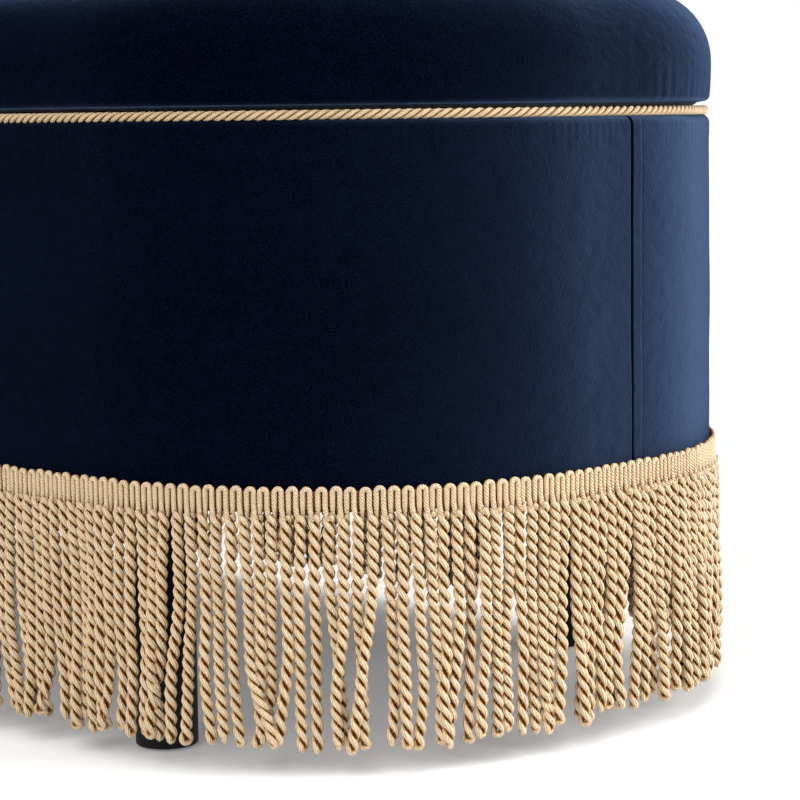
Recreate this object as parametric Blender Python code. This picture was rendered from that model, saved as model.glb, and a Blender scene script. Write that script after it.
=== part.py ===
"""Oblong storage bench with a tufted lid on two hinges, rope trim and a hanging bullion fringe.

Sizes are in metres and +Z is up. The origin is on the floor under the middle of the bench.
The long axis is X, the front faces -Y, and the lid opens towards the back.
"""

import math

import bmesh
import bpy
from mathutils import Vector

# Outline of the velvet body, seen from above
LENGTH = 1.27
WIDTH = 0.47
END_FLAT = 0.05
CORNER_FACETS = 10

# Heights of the body
BODY_BOTTOM = 0.153
BODY_TOP = 0.376

# Clearance between pieces that rest on or line each other
SEAT_GAP = 0.0003

# Carcass
WALL = 0.015
BASE_THICKNESS = 0.012
BATTEN = 0.02
BATTEN_END_GAP = 0.01
LINING = 0.0012
FLOOR_LINING = 0.0015
DUST_COVER = 0.001
DUST_COVER_INSET = 0.012

# Velvet with its wadding
COVER = 0.003
COVER_EDGE_RADIUS = 0.006
COVER_EDGE_FACETS = 3
COVER_TURN_IN = 0.017
COVER_TURN_UNDER = 0.022
SEAM_BEHIND_MIDDLE = 0.013

# Feet, placed by the distance round the outline from the middle of an end
FOOT_FROM_END_MIDDLE = 0.34
FOOT_INSET = 0.0436
FOOT_RADIUS = 0.019
FOOT_EDGE = 0.0015
FOOT_FACETS = 16
FOOT_BLOCK_LENGTH = 0.09
FOOT_BLOCK_DEPTH = 0.06
STUD_RADIUS = 0.004
STUD_LENGTH = 0.017
GLIDE_RADIUS = 0.014
GLIDE_HEIGHT = 0.003

# Rope between body and lid
ROPE_RADIUS = 0.0028
ROPE_INSET = 0.001
ROPE_HINGE_GAP = 0.004

# Fringe: a gimp header with one twisted strand under each loop of it
HEADER_TOP = 0.169
HEADER_HEIGHT = 0.0163
HEADER_THICKNESS = 0.0033
STRAND_PITCH = 0.0084
STRAND_WIDTH = 0.0062
STRAND_END = 0.016
STRAND_END_SPREAD = 0.0024
STRAND_SWAY = 0.0006
SWAY_PHASE = 2.4
END_PHASE = 1.7
END_FRINGE_LENGTHS = 3

# Hinges, with their axis just behind the body
HINGE_FROM_MIDDLE = 0.33
HINGE_LENGTH = 0.06
HINGE_BEHIND_BODY = 0.0022
LEAF_THICKNESS = 0.002
PIN_RADIUS = 0.0017
PIN_HEAD_RADIUS = 0.0032
PIN_HEAD_HEIGHT = 0.0015
BASE_LEAF_DEPTH = 0.019
LID_LEAF_DEPTH = 0.03
KNUCKLE_ROLL = math.radians(285)
KNUCKLE_FACETS = 10

# Lid
LID_LINING_INSET = 0.006
LID_BOARD = 0.015
LID_COVER_WALL = 0.0045
LID_TURN_UNDER = 0.03
LID_FOOT_RADIUS = 0.007
LID_FOOT_FACETS = 2
LID_BULGE = 0.001
LID_BULGE_HEIGHT = 0.023
SHOULDER_RADIUS = 0.046
SHOULDER_TURN = math.radians(80)
SHOULDER_FACETS = 5
LID_CROWN = 0.016
FOAM_TOP_COVER = 0.016
FOAM_EDGE_FACETS = 2
OUTER_CROWN_RINGS = 2
INNER_CROWN_RINGS = 3

# Tufts, in three rows
TUFT_SPACES = 4
TUFT_ROW_OFFSET = 0.12
TUFT_DEPTH = 0.012
TUFT_SPREAD = 0.026
STATIONS_PER_SPACE = 4
BUTTON_RADIUS = 0.011
BUTTON_EDGE_RISE = 0.0045
BUTTON_HEIGHT = 0.008
BUTTON_FACETS = 10
BUTTON_RINGS = 3

# Soft stops under the front of the lid
BUMPER_FROM_MIDDLE = 0.3
BUMPER_RADIUS = 0.004
BUMPER_FACETS = 12

# Shading: edges sharper than this stay crisp
SHARP_ANGLE = math.radians(35)

# Values that follow
CORNER_RADIUS = (WIDTH - END_FLAT) / 2
ALONG = LENGTH / 2 - CORNER_RADIUS
ACROSS = END_FLAT / 2
PERIMETER = 4 * (ALONG + ACROSS) + 2 * math.pi * CORNER_RADIUS
END_HALF = ACROSS + CORNER_RADIUS * math.pi / 2
WALL_OUTSIDE = COVER + SEAT_GAP
WALL_INSIDE = WALL_OUTSIDE + WALL
WALL_BOTTOM = BODY_BOTTOM + COVER + SEAT_GAP
WALL_TOP = BODY_TOP - COVER - SEAT_GAP
BASE_BOTTOM = WALL_BOTTOM + BATTEN + SEAT_GAP
BASE_TOP = BASE_BOTTOM + BASE_THICKNESS
LINING_INSIDE = WALL_INSIDE + SEAT_GAP + LINING
DUST_COVER_BOTTOM = BODY_BOTTOM - SEAT_GAP - DUST_COVER
FOOT_TOP = DUST_COVER_BOTTOM - SEAT_GAP
BORE_RADIUS = PIN_RADIUS + SEAT_GAP
KNUCKLE_RADIUS = BORE_RADIUS + LEAF_THICKNESS
HINGE_Y = WIDTH / 2 + HINGE_BEHIND_BODY
HINGE_Z = BODY_TOP + SEAT_GAP + KNUCKLE_RADIUS
LID_BOTTOM = HINGE_Z + KNUCKLE_RADIUS + SEAT_GAP
LID_COVER_BOTTOM = LID_BOTTOM + LINING + SEAT_GAP
LID_BOARD_BOTTOM = LID_COVER_BOTTOM + COVER + SEAT_GAP
LID_BOARD_TOP = LID_BOARD_BOTTOM + LID_BOARD
SHOULDER_CENTRE_INSET = SHOULDER_RADIUS - LID_BULGE
SHOULDER_END_INSET = SHOULDER_CENTRE_INSET - SHOULDER_RADIUS * math.cos(SHOULDER_TURN)
SHOULDER_BOTTOM = LID_COVER_BOTTOM + LID_BULGE_HEIGHT
SHOULDER_END_Z = SHOULDER_BOTTOM + SHOULDER_RADIUS * math.sin(SHOULDER_TURN)
FOAM_TOP = SHOULDER_END_Z - FOAM_TOP_COVER

# Finishes: colour, roughness and metallic value
VELVET = ((0.008, 0.021, 0.072), 0.75, 0.0)
GOLD_CORD = ((0.68, 0.5, 0.28), 0.45, 0.0)
PLYWOOD = ((0.62, 0.47, 0.3), 0.7, 0.0)
FOAM = ((0.86, 0.82, 0.68), 0.9, 0.0)
BLACK_CLOTH = ((0.012, 0.012, 0.013), 0.9, 0.0)
BLACK_PAINT = ((0.012, 0.012, 0.012), 0.4, 0.0)
GREY_PLASTIC = ((0.1, 0.1, 0.1), 0.5, 0.0)
STEEL = ((0.55, 0.54, 0.52), 0.35, 1.0)
CLEAR_RUBBER = ((0.3, 0.3, 0.3), 0.5, 0.0)


def outline_segments():
    """Runs and corner arcs of the outline, anticlockwise from the middle of the right end.

    Each one is its length, its first and last centre, and its first and last outward angle.
    """
    quarter = math.pi / 2
    segments = []
    for x_side in (1, -1):
        start_angle = 0 if x_side > 0 else math.pi
        first = Vector((x_side * ALONG, x_side * ACROSS))
        last = Vector((-x_side * ALONG, x_side * ACROSS))
        middle, far_middle = Vector((first.x, 0)), Vector((last.x, 0))
        side_angle, end_angle = start_angle + quarter, start_angle + math.pi
        segments.append((ACROSS, middle, first, start_angle, start_angle))
        segments.append((CORNER_RADIUS * quarter, first, first, start_angle, side_angle))
        segments.append((2 * ALONG, first, last, side_angle, side_angle))
        segments.append((CORNER_RADIUS * quarter, last, last, side_angle, end_angle))
        segments.append((ACROSS, last, far_middle, end_angle, end_angle))
    return segments


def station(distance):
    """Centre and outward direction at a distance round the outline from the right end's middle."""
    left = distance % PERIMETER
    for length, first, last, first_angle, last_angle in outline_segments():
        if left <= length:
            break
        left -= length
    share = min(left / length, 1)
    angle = first_angle + (last_angle - first_angle) * share
    return first.lerp(last, share), Vector((math.cos(angle), math.sin(angle)))


def facet_breaks(side_steps=1):
    """Distances round the outline where a facet starts, over one lap."""
    breaks, passed = [], 0
    for length, first, last, first_angle, last_angle in outline_segments():
        if first_angle != last_angle:
            steps = CORNER_FACETS
        elif first.y == last.y:
            steps = side_steps
        else:
            steps = 1
        breaks += [passed + length * step / steps for step in range(steps)]
        passed += length
    return breaks


def ring(side_steps=1):
    """Stations all the way round."""
    return [station(distance) for distance in facet_breaks(side_steps)]


def on_facet(distance):
    """The station at a distance, on the flat facet that holds it."""
    marks = facet_breaks() + [PERIMETER]
    left = distance % PERIMETER
    upper = next(k for k, mark in enumerate(marks) if mark > left)
    first, last = marks[upper - 1], marks[upper]
    share = (left - first) / (last - first)
    near, far = station(first), station(last)
    return near[0].lerp(far[0], share), near[1].lerp(far[1], share)


def stretch(start, end):
    """Stations from one distance to another, with one at every facet between them."""
    tiny = 1e-6
    laps = range(math.floor(start / PERIMETER), math.ceil(end / PERIMETER))
    breaks = [lap * PERIMETER + mark for lap in laps for mark in facet_breaks()]
    inner = [mark for mark in breaks if start + tiny < mark < end - tiny]
    return [on_facet(start), *(station(mark) for mark in inner), on_facet(end)]


def spot(place, inset, z):
    """The point at a station that lies an inset inside the body's face."""
    centre, outward = place
    flat = centre + outward * (CORNER_RADIUS - inset)
    return Vector((flat.x, flat.y, z))


def loft(profile, places, closed=False):
    """A closed profile of (inset, height) points, carried from station to station."""
    bm = bmesh.new()
    rings = [[bm.verts.new(spot(place, *point)) for point in profile] for place in places]
    following = rings[1:] + rings[:1] if closed else rings[1:]
    for near, far in zip(rings, following):
        for k in range(len(profile)):
            m = (k + 1) % len(profile)
            bm.faces.new((near[k], near[m], far[m], far[k]))
    if not closed:
        bm.faces.new(rings[0])
        bm.faces.new(rings[-1])
    return bm


def rounded(inset, z, radius, start, end, facets):
    """(inset, height) points of an arc about a centre, by their angle above the outward level."""
    turns = [start + (end - start) * k / facets for k in range(facets + 1)]
    return [(inset - radius * math.cos(turn), z + radius * math.sin(turn)) for turn in turns]


def rectangle(outer, inner, low, high):
    """Profile of a plain strip between two insets and two heights."""
    return [(outer, low), (outer, high), (inner, high), (inner, low)]


def slab(inset, low, high):
    """A flat panel of the whole outline."""
    bm = bmesh.new()
    face = bm.faces.new([bm.verts.new(spot(place, inset, low)) for place in ring()])
    raised = bmesh.ops.extrude_face_region(bm, geom=[face], use_keep_orig=True)["geom"]
    corners = [item for item in raised if isinstance(item, bmesh.types.BMVert)]
    bmesh.ops.translate(bm, verts=corners, vec=(0, 0, high - low))
    return bm


def turned(profile, facets, centre):
    """A profile of (radius, height) points turned about the vertical through a centre."""
    bm = bmesh.new()
    verts = [bm.verts.new((radius, 0, z)) for radius, z in profile]
    edges = [bm.edges.new(pair) for pair in zip(verts, verts[1:])]
    full_turn = 2 * math.pi
    bmesh.ops.spin(
        bm, geom=verts + edges, cent=(0, 0, 0), axis=(0, 0, 1), angle=full_turn, steps=facets
    )
    bmesh.ops.remove_doubles(bm, verts=bm.verts, dist=1e-6)
    bmesh.ops.translate(bm, verts=bm.verts, vec=(centre[0], centre[1], 0))
    return bm


def finish(piece, look):
    """Gives a piece its own material."""
    colour, roughness, metallic = look
    material = bpy.data.materials.new(piece.name)
    material.use_nodes = True
    shader = material.node_tree.nodes["Principled BSDF"]
    shader.inputs["Base Color"].default_value = (*colour, 1)
    shader.inputs["Roughness"].default_value = roughness
    shader.inputs["Metallic"].default_value = metallic
    piece.data.materials.append(material)


def add_piece(name, bm, look, moves_with=None):
    """Makes one named object from a bmesh, with its faces pointing out."""
    bmesh.ops.recalc_face_normals(bm, faces=bm.faces)
    mesh = bpy.data.meshes.new(name)
    bm.to_mesh(mesh)
    bm.free()
    mesh.shade_smooth()
    mesh.set_sharp_from_angle(angle=SHARP_ANGLE)
    piece = bpy.data.objects.new(name, mesh)
    bpy.context.collection.objects.link(piece)
    finish(piece, look)
    if moves_with:
        piece.parent = moves_with
        piece.matrix_parent_inverse = moves_with.matrix_world.inverted()
    return piece


def cut(piece, cutter):
    """Cuts a hidden solid out of a piece."""
    boolean = piece.modifiers.new("cut_" + cutter.name, "BOOLEAN")
    boolean.operation = "DIFFERENCE"
    boolean.object = cutter


def feet_places():
    """Name and distance round the outline of each foot."""
    reach = FOOT_FROM_END_MIDDLE
    return {
        "back_right": reach,
        "back_left": PERIMETER / 2 - reach,
        "front_left": PERIMETER / 2 + reach,
        "front_right": PERIMETER - reach,
    }


def build_carcass():
    side = rectangle(WALL_OUTSIDE, WALL_INSIDE, WALL_BOTTOM, WALL_TOP)
    joint = SEAT_GAP / 2
    end, half = END_HALF, PERIMETER / 2
    walls = {
        "wall_right_end": (-end + joint, end - joint),
        "wall_back": (end + joint, half - end - joint),
        "wall_left_end": (half - end + joint, half + end - joint),
        "wall_front": (half + end + joint, PERIMETER - end - joint),
    }
    for name, (start, stop) in walls.items():
        add_piece(name, loft(side, stretch(start, stop)), PLYWOOD)
    inside = WALL_INSIDE + SEAT_GAP
    add_piece("base_panel", slab(inside, BASE_BOTTOM, BASE_TOP), PLYWOOD)
    batten = rectangle(inside, inside + BATTEN, WALL_BOTTOM, WALL_BOTTOM + BATTEN)
    clear = FOOT_FROM_END_MIDDLE + FOOT_BLOCK_LENGTH / 2 + BATTEN_END_GAP
    add_piece("batten_back", loft(batten, stretch(clear, half - clear)), PLYWOOD)
    add_piece("batten_front", loft(batten, stretch(half + clear, PERIMETER - clear)), PLYWOOD)


def build_linings():
    walls = rectangle(WALL_INSIDE + SEAT_GAP, LINING_INSIDE, BASE_TOP + SEAT_GAP, WALL_TOP)
    add_piece("box_lining", loft(walls, ring(), closed=True), BLACK_CLOTH)
    floor = BASE_TOP + SEAT_GAP
    lining = slab(LINING_INSIDE + SEAT_GAP, floor, floor + FLOOR_LINING)
    add_piece("floor_lining", lining, BLACK_CLOTH)
    under = slab(DUST_COVER_INSET, DUST_COVER_BOTTOM, DUST_COVER_BOTTOM + DUST_COVER)
    return add_piece("dust_cover", under, BLACK_CLOTH)


def build_feet(dust_cover):
    """Feet with their studs, and the blocks and dust cover bored for them."""
    block = rectangle(
        WALL_INSIDE + SEAT_GAP,
        WALL_INSIDE + SEAT_GAP + FOOT_BLOCK_DEPTH,
        WALL_BOTTOM,
        WALL_BOTTOM + BATTEN,
    )
    foot_bottom = GLIDE_HEIGHT + SEAT_GAP
    stud_top = FOOT_TOP + STUD_LENGTH
    foot = [
        (0, stud_top),
        (STUD_RADIUS, stud_top),
        (STUD_RADIUS, FOOT_TOP),
        (FOOT_RADIUS - FOOT_EDGE, FOOT_TOP),
        (FOOT_RADIUS, FOOT_TOP - FOOT_EDGE),
        (FOOT_RADIUS, foot_bottom + FOOT_EDGE),
        (FOOT_RADIUS - FOOT_EDGE, foot_bottom),
        (0, foot_bottom),
    ]
    glide = [
        (0, GLIDE_HEIGHT),
        (GLIDE_RADIUS, GLIDE_HEIGHT),
        (GLIDE_RADIUS, GLIDE_HEIGHT / 2),
        (GLIDE_RADIUS - GLIDE_HEIGHT / 2, 0),
        (0, 0),
    ]
    bore_radius = STUD_RADIUS + SEAT_GAP
    bore_top = stud_top + SEAT_GAP
    bore_bottom = FOOT_TOP
    bore = [(0, bore_top), (bore_radius, bore_top), (bore_radius, bore_bottom), (0, bore_bottom)]
    for corner, distance in feet_places().items():
        centre = spot(station(distance), FOOT_INSET, 0)
        reach = FOOT_BLOCK_LENGTH / 2
        block_piece = loft(block, stretch(distance - reach, distance + reach))
        foot_block = add_piece("foot_block_" + corner, block_piece, PLYWOOD)
        add_piece("foot_" + corner, turned(foot, FOOT_FACETS, centre), BLACK_PAINT)
        add_piece("glide_" + corner, turned(glide, FOOT_FACETS, centre), GREY_PLASTIC)
        cutter = add_piece("bore_" + corner, turned(bore, FOOT_FACETS, centre), STEEL)
        cutter.hide_render = True
        cutter.display_type = "WIRE"
        cut(foot_block, cutter)
        cut(dust_cover, cutter)


def build_body_covers():
    """Front and back velvet, wrapped over the walls' top and bottom edges."""
    edge = COVER_EDGE_RADIUS
    profile = [
        (COVER_TURN_UNDER, BODY_BOTTOM),
        (COVER, BODY_BOTTOM),
        (0, BODY_BOTTOM + COVER),
        *rounded(edge, BODY_TOP - edge, edge, 0, math.pi / 2, COVER_EDGE_FACETS),
        (COVER_TURN_IN, BODY_TOP),
        (COVER_TURN_IN, BODY_TOP - COVER),
        (COVER, BODY_TOP - COVER),
        (COVER, BODY_BOTTOM + COVER),
        (COVER_TURN_UNDER, BODY_BOTTOM + COVER),
    ]
    seam = SEAM_BEHIND_MIDDLE
    half, gap = PERIMETER / 2, SEAT_GAP / 2
    back = stretch(seam + gap, half - seam - gap)
    front = stretch(half - seam + gap, PERIMETER + seam - gap)
    add_piece("velvet_back", loft(profile, back), VELVET)
    add_piece("velvet_front", loft(profile, front), VELVET)


def build_rope():
    """Rope laid on the body's top edge, in two lengths that stop at the hinges."""
    inset = ROPE_INSET + ROPE_RADIUS
    z = BODY_TOP + ROPE_RADIUS + SEAT_GAP
    back_middle = END_HALF + ALONG
    near = HINGE_FROM_MIDDLE - HINGE_LENGTH / 2 - ROPE_HINGE_GAP
    far = HINGE_FROM_MIDDLE + HINGE_LENGTH / 2 + ROPE_HINGE_GAP
    lengths = {
        "rope_trim": (back_middle + far, back_middle - far + PERIMETER),
        "rope_trim_back": (back_middle - near, back_middle + near),
    }
    for name, (start, end) in lengths.items():
        points = [spot(place, inset, z) for place in stretch(start, end)]
        curve = bpy.data.curves.new(name, "CURVE")
        curve.dimensions = "3D"
        curve.bevel_depth = ROPE_RADIUS
        curve.bevel_resolution = 2
        curve.use_fill_caps = True
        line = curve.splines.new("POLY")
        line.points.add(len(points) - 1)
        for point, place in zip(line.points, points):
            point.co = (*place, 1)
        rope = bpy.data.objects.new(name, curve)
        bpy.context.collection.objects.link(rope)
        finish(rope, GOLD_CORD)


def fringe_length(start, end):
    """A length of gimp header with its strands drawn down from the header's underside."""
    count = max(1, round((end - start) / STRAND_PITCH))
    step = (end - start) / count
    places = [station(start + step * k) for k in range(count + 1)]
    near, far = -SEAT_GAP, -SEAT_GAP - HEADER_THICKNESS
    low = HEADER_TOP - HEADER_HEIGHT
    bm = loft(rectangle(far, near, low, HEADER_TOP), places)
    bm.faces.ensure_lookup_table()
    bmesh.ops.recalc_face_normals(bm, faces=bm.faces)
    undersides = [face for face in bm.faces if face.normal.z < -0.9]
    drawn = bmesh.ops.extrude_discrete_faces(bm, faces=undersides)["faces"]
    strands = [station(start + step * (k + 0.5)) for k in range(count)]
    for face in drawn:
        middle = face.calc_center_median()
        k = min(range(count), key=lambda n: (spot(strands[n], near, low) - middle).length)
        centre, outward = strands[k]
        along = Vector((-outward.y, outward.x, 0))
        out = Vector((outward.x, outward.y, 0))
        sway = STRAND_SWAY * math.sin(SWAY_PHASE * k)
        end_z = STRAND_END + STRAND_END_SPREAD * math.sin(END_PHASE * k)
        root = spot((centre, outward), near - STRAND_WIDTH / 2, end_z) + along * sway
        for vert in face.verts:
            offset = vert.co - middle
            side = math.copysign(STRAND_WIDTH / 2, offset.dot(along))
            depth = math.copysign(STRAND_WIDTH / 2, offset.dot(out))
            vert.co = root + along * side + out * depth
    return bm


def build_fringe():
    half, gap = PERIMETER / 2, SEAT_GAP / 2
    runs = {
        "fringe_back": (END_HALF, half - END_HALF),
        "fringe_front": (half + END_HALF, PERIMETER - END_HALF),
    }
    share = 2 * END_HALF / END_FRINGE_LENGTHS
    for k in range(END_FRINGE_LENGTHS):
        start = -END_HALF + share * k
        runs[f"fringe_right_{k + 1}"] = (start, start + share)
        runs[f"fringe_left_{k + 1}"] = (half + start, half + start + share)
    for name, (start, end) in runs.items():
        add_piece(name, fringe_length(start + gap, end - gap), GOLD_CORD)


def hinge_leaf(centre_x, depth, up, rolled):
    """A leaf of three parts along X, with the named parts rolled into knuckles round the pin."""
    third = HINGE_LENGTH / 3
    near = HINGE_Y - KNUCKLE_RADIUS - SEAT_GAP
    face_z = HINGE_Z + up * BORE_RADIUS
    back_z = HINGE_Z + up * KNUCKLE_RADIUS
    bm = bmesh.new()
    lines = []
    for k in range(4):
        x = centre_x - HINGE_LENGTH / 2 + third * k
        corners = ((HINGE_Y - depth, face_z), (near, face_z), (near, back_z), (HINGE_Y - depth, back_z))
        lines.append([bm.verts.new((x, y, z)) for y, z in corners])
    ends = []
    for part in range(3):
        first, second = lines[part], lines[part + 1]
        for k in range(4):
            m = (k + 1) % 4
            face = bm.faces.new((first[k], first[m], second[m], second[k]))
            if k == 1:
                ends.append(face)
    bm.faces.new(lines[0])
    bm.faces.new(lines[3])
    for part in rolled:
        stub = bmesh.ops.extrude_discrete_faces(bm, faces=[ends[part]])["faces"][0]
        bmesh.ops.translate(bm, verts=stub.verts, vec=(0, HINGE_Y - near, 0))
        low_x = centre_x - HINGE_LENGTH / 2 + third * part + (SEAT_GAP if part > 0 else 0)
        high_x = centre_x - HINGE_LENGTH / 2 + third * (part + 1) - (SEAT_GAP if part < 2 else 0)
        for vert in stub.verts:
            vert.co.x = low_x if vert.co.x < (low_x + high_x) / 2 else high_x
        bmesh.ops.spin(
            bm,
            geom=[stub, *stub.edges, *stub.verts],
            cent=(0, HINGE_Y, HINGE_Z),
            axis=(1, 0, 0),
            angle=-up * KNUCKLE_ROLL,
            steps=KNUCKLE_FACETS,
        )
    bmesh.ops.remove_doubles(bm, verts=bm.verts, dist=1e-6)
    return bm


def hinge_pin(centre_x):
    """A pin with a head at each end, turned and then laid along X."""
    half = HINGE_LENGTH / 2 + SEAT_GAP
    head = half + PIN_HEAD_HEIGHT
    profile = [
        (0, head),
        (PIN_HEAD_RADIUS, head),
        (PIN_HEAD_RADIUS, half),
        (PIN_RADIUS, half),
        (PIN_RADIUS, -half),
        (PIN_HEAD_RADIUS, -half),
        (PIN_HEAD_RADIUS, -head),
        (0, -head),
    ]
    bm = turned(profile, KNUCKLE_FACETS, (0, 0))
    for vert in bm.verts:
        x, y, z = vert.co
        vert.co = (centre_x + z, HINGE_Y + y, HINGE_Z - x)
    return bm


def build_hinges(lid_axis):
    for name, side in {"right": 1, "left": -1}.items():
        x = side * HINGE_FROM_MIDDLE
        base_leaf = hinge_leaf(x, BASE_LEAF_DEPTH, -1, rolled=(0, 2))
        add_piece("hinge_base_leaf_" + name, base_leaf, STEEL)
        add_piece("hinge_pin_" + name, hinge_pin(x), STEEL)
        lid_leaf = hinge_leaf(x, LID_LEAF_DEPTH, 1, rolled=(1,))
        add_piece("hinge_lid_leaf_" + name, lid_leaf, STEEL, lid_axis)


def build_bumpers():
    """Soft stops between the body's top edge and the underside of the lid."""
    inset = ROPE_INSET + 2 * ROPE_RADIUS + SEAT_GAP + BUMPER_RADIUS
    y = -(WIDTH / 2 - inset)
    low, high = BODY_TOP + SEAT_GAP, LID_BOTTOM - SEAT_GAP
    profile = [(0, high), (BUMPER_RADIUS, high), (BUMPER_RADIUS, low), (0, low)]
    for name, side in {"right": 1, "left": -1}.items():
        bumper = turned(profile, BUMPER_FACETS, (side * BUMPER_FROM_MIDDLE, y))
        add_piece("lid_bumper_" + name, bumper, CLEAR_RUBBER)


def tufts():
    """Places of the buttons: two long rows, and a middle row set between their columns."""
    space = 2 * ALONG / TUFT_SPACES
    outer = [(-ALONG + space * k, y) for y in (-1, 1) for k in range(TUFT_SPACES + 1)]
    places = [(x, y * TUFT_ROW_OFFSET) for x, y in outer]
    places += [(-ALONG + space * (k + 0.5), 0) for k in range(TUFT_SPACES)]
    return sorted(places)


def dip(x, y):
    """Depth of the tufting at a point of the lid's top."""
    squares = (((x - tx) ** 2 + (y - ty) ** 2) / (2 * TUFT_SPREAD**2) for tx, ty in tufts())
    return TUFT_DEPTH * max(math.exp(-square) for square in squares)


def crown_z(x, y, inset):
    """Height of the lid's top: a low crown with the tufts drawn into it."""
    outward = (CORNER_RADIUS - inset) / (CORNER_RADIUS - SHOULDER_END_INSET)
    return SHOULDER_END_Z + LID_CROWN * (1 - outward**2) - dip(x, y)


def lid_side():
    """Outer (inset, height) points of the lid, from its underside to the end of the shoulder."""
    foot = LID_FOOT_RADIUS
    shoulder_inset = SHOULDER_CENTRE_INSET
    return [
        (LID_TURN_UNDER, LID_COVER_BOTTOM),
        *rounded(foot, LID_COVER_BOTTOM + foot, foot, -math.pi / 2, 0, LID_FOOT_FACETS),
        *rounded(shoulder_inset, SHOULDER_BOTTOM, SHOULDER_RADIUS, 0, SHOULDER_TURN, SHOULDER_FACETS),
    ]


def lid_hollow(margin):
    """(inset, height) points of the space in the cover for board and foam, drawn in by a margin."""
    edge = LID_COVER_WALL + margin
    radius = FOAM_TOP - margin - SHOULDER_BOTTOM
    return rounded(edge + radius, SHOULDER_BOTTOM, radius, 0, math.pi / 2, FOAM_EDGE_FACETS)


def lid_cover():
    """The cushion cover: a padded skin with rounded sides, a crown and tufts, open underneath."""
    places = ring(TUFT_SPACES * STATIONS_PER_SPACE)
    row_inset = WIDTH / 2 - TUFT_ROW_OFFSET
    outer_step = (row_inset - SHOULDER_END_INSET) / OUTER_CROWN_RINGS
    inner_step = (CORNER_RADIUS - row_inset) / INNER_CROWN_RINGS
    crown = [SHOULDER_END_INSET + outer_step * (k + 1) for k in range(OUTER_CROWN_RINGS)]
    crown += [row_inset + inner_step * (k + 1) for k in range(INNER_CROWN_RINGS)]
    hollow = [(LID_COVER_WALL, LID_BOARD_BOTTOM - SEAT_GAP), *lid_hollow(0)]
    under = [(LID_TURN_UNDER, LID_BOARD_BOTTOM - SEAT_GAP)]
    bm = bmesh.new()

    def ring_of(inset, z=None):
        points = [spot(place, inset, 0) for place in places]
        heights = [crown_z(p.x, p.y, inset) if z is None else z for p in points]
        return [bm.verts.new((p.x, p.y, h)) for p, h in zip(points, heights)]

    def join(rings):
        for low, high in zip(rings, rings[1:]):
            for a, b, c, d in zip(low, low[1:] + low[:1], high[1:] + high[:1], high):
                bm.faces.new((a, b, c, d))

    outside = [ring_of(*point) for point in lid_side()] + [ring_of(inset) for inset in crown]
    inside = [ring_of(*point) for point in under + hollow]
    join(inside[::-1] + outside)
    bm.faces.new(inside[-1])
    fill_crown_middle(bm, outside[-1])
    bmesh.ops.remove_doubles(bm, verts=bm.verts, dist=1e-6)
    bmesh.ops.dissolve_degenerate(bm, edges=bm.edges, dist=1e-6)
    return bm


def fill_crown_middle(bm, last_ring):
    """Closes the strip between the innermost front and back lines, with a line down its middle."""
    steps = TUFT_SPACES * STATIONS_PER_SPACE
    columns = [-ALONG + 2 * ALONG * k / steps for k in range(steps + 1)]
    middle = [bm.verts.new((x, 0, crown_z(x, 0, CORNER_RADIUS))) for x in columns]

    def line(side):
        verts = [vert for vert in last_ring if vert.co.y * side > ACROSS / 2]
        return [min(verts, key=lambda vert: abs(vert.co.x - x)) for x in columns]

    front, back = line(-1), line(1)
    for k in range(steps):
        bm.faces.new((front[k], front[k + 1], middle[k + 1], middle[k]))
        bm.faces.new((middle[k], middle[k + 1], back[k + 1], back[k]))


def build_lid(lid_axis):
    edge = LID_COVER_WALL + SEAT_GAP
    board = slab(edge, LID_BOARD_BOTTOM, LID_BOARD_TOP)
    add_piece("lid_board", board, PLYWOOD, lid_axis)
    foam = bmesh.new()
    points = [(edge, LID_BOARD_TOP + SEAT_GAP), *lid_hollow(SEAT_GAP)]
    rings = [[foam.verts.new(spot(place, *point)) for place in ring()] for point in points]
    for low, high in zip(rings, rings[1:]):
        for a, b, c, d in zip(low, low[1:] + low[:1], high[1:] + high[:1], high):
            foam.faces.new((a, b, c, d))
    foam.faces.new(rings[0])
    foam.faces.new(rings[-1])
    add_piece("lid_foam", foam, FOAM, lid_axis)
    add_piece("lid_cover", lid_cover(), VELVET, lid_axis)
    lining = slab(LID_LINING_INSET, LID_BOTTOM, LID_BOTTOM + LINING)
    add_piece("lid_lining", lining, BLACK_CLOTH, lid_axis)


def build_buttons(lid_axis):
    for number, (x, y) in enumerate(tufts(), start=1):
        seat = crown_z(x, y, min(CORNER_RADIUS, WIDTH / 2 - abs(y))) + SEAT_GAP
        edge, dome = seat + BUTTON_EDGE_RISE, BUTTON_HEIGHT - BUTTON_EDGE_RISE
        turns = [math.pi / 2 * (1 - k / BUTTON_RINGS) for k in range(BUTTON_RINGS + 1)]
        profile = [(BUTTON_RADIUS * math.cos(turn), edge + dome * math.sin(turn)) for turn in turns]
        profile = [(0, edge + dome), *profile[1:], (0, seat)]
        button = turned(profile, BUTTON_FACETS, (x, y))
        add_piece(f"tuft_button_{number:02d}", button, VELVET, lid_axis)


def main():
    for old in list(bpy.data.objects):
        bpy.data.objects.remove(old)
    lid_axis = bpy.data.objects.new("lid_hinge_axis", None)
    lid_axis.location = (0, HINGE_Y, HINGE_Z)
    bpy.context.collection.objects.link(lid_axis)
    bpy.context.view_layer.update()
    build_carcass()
    build_feet(build_linings())
    build_body_covers()
    build_rope()
    build_fringe()
    build_hinges(lid_axis)
    build_bumpers()
    build_lid(lid_axis)
    build_buttons(lid_axis)


main()
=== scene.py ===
"""Dresses the frame of an oblong storage bench in velvet, rope, bullion fringe, linings and hardware.

Sizes are in metres, +Z is up, the front faces -Y, and distances round the bench run anticlockwise,
seen from above, from the middle of its right end.
"""

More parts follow.
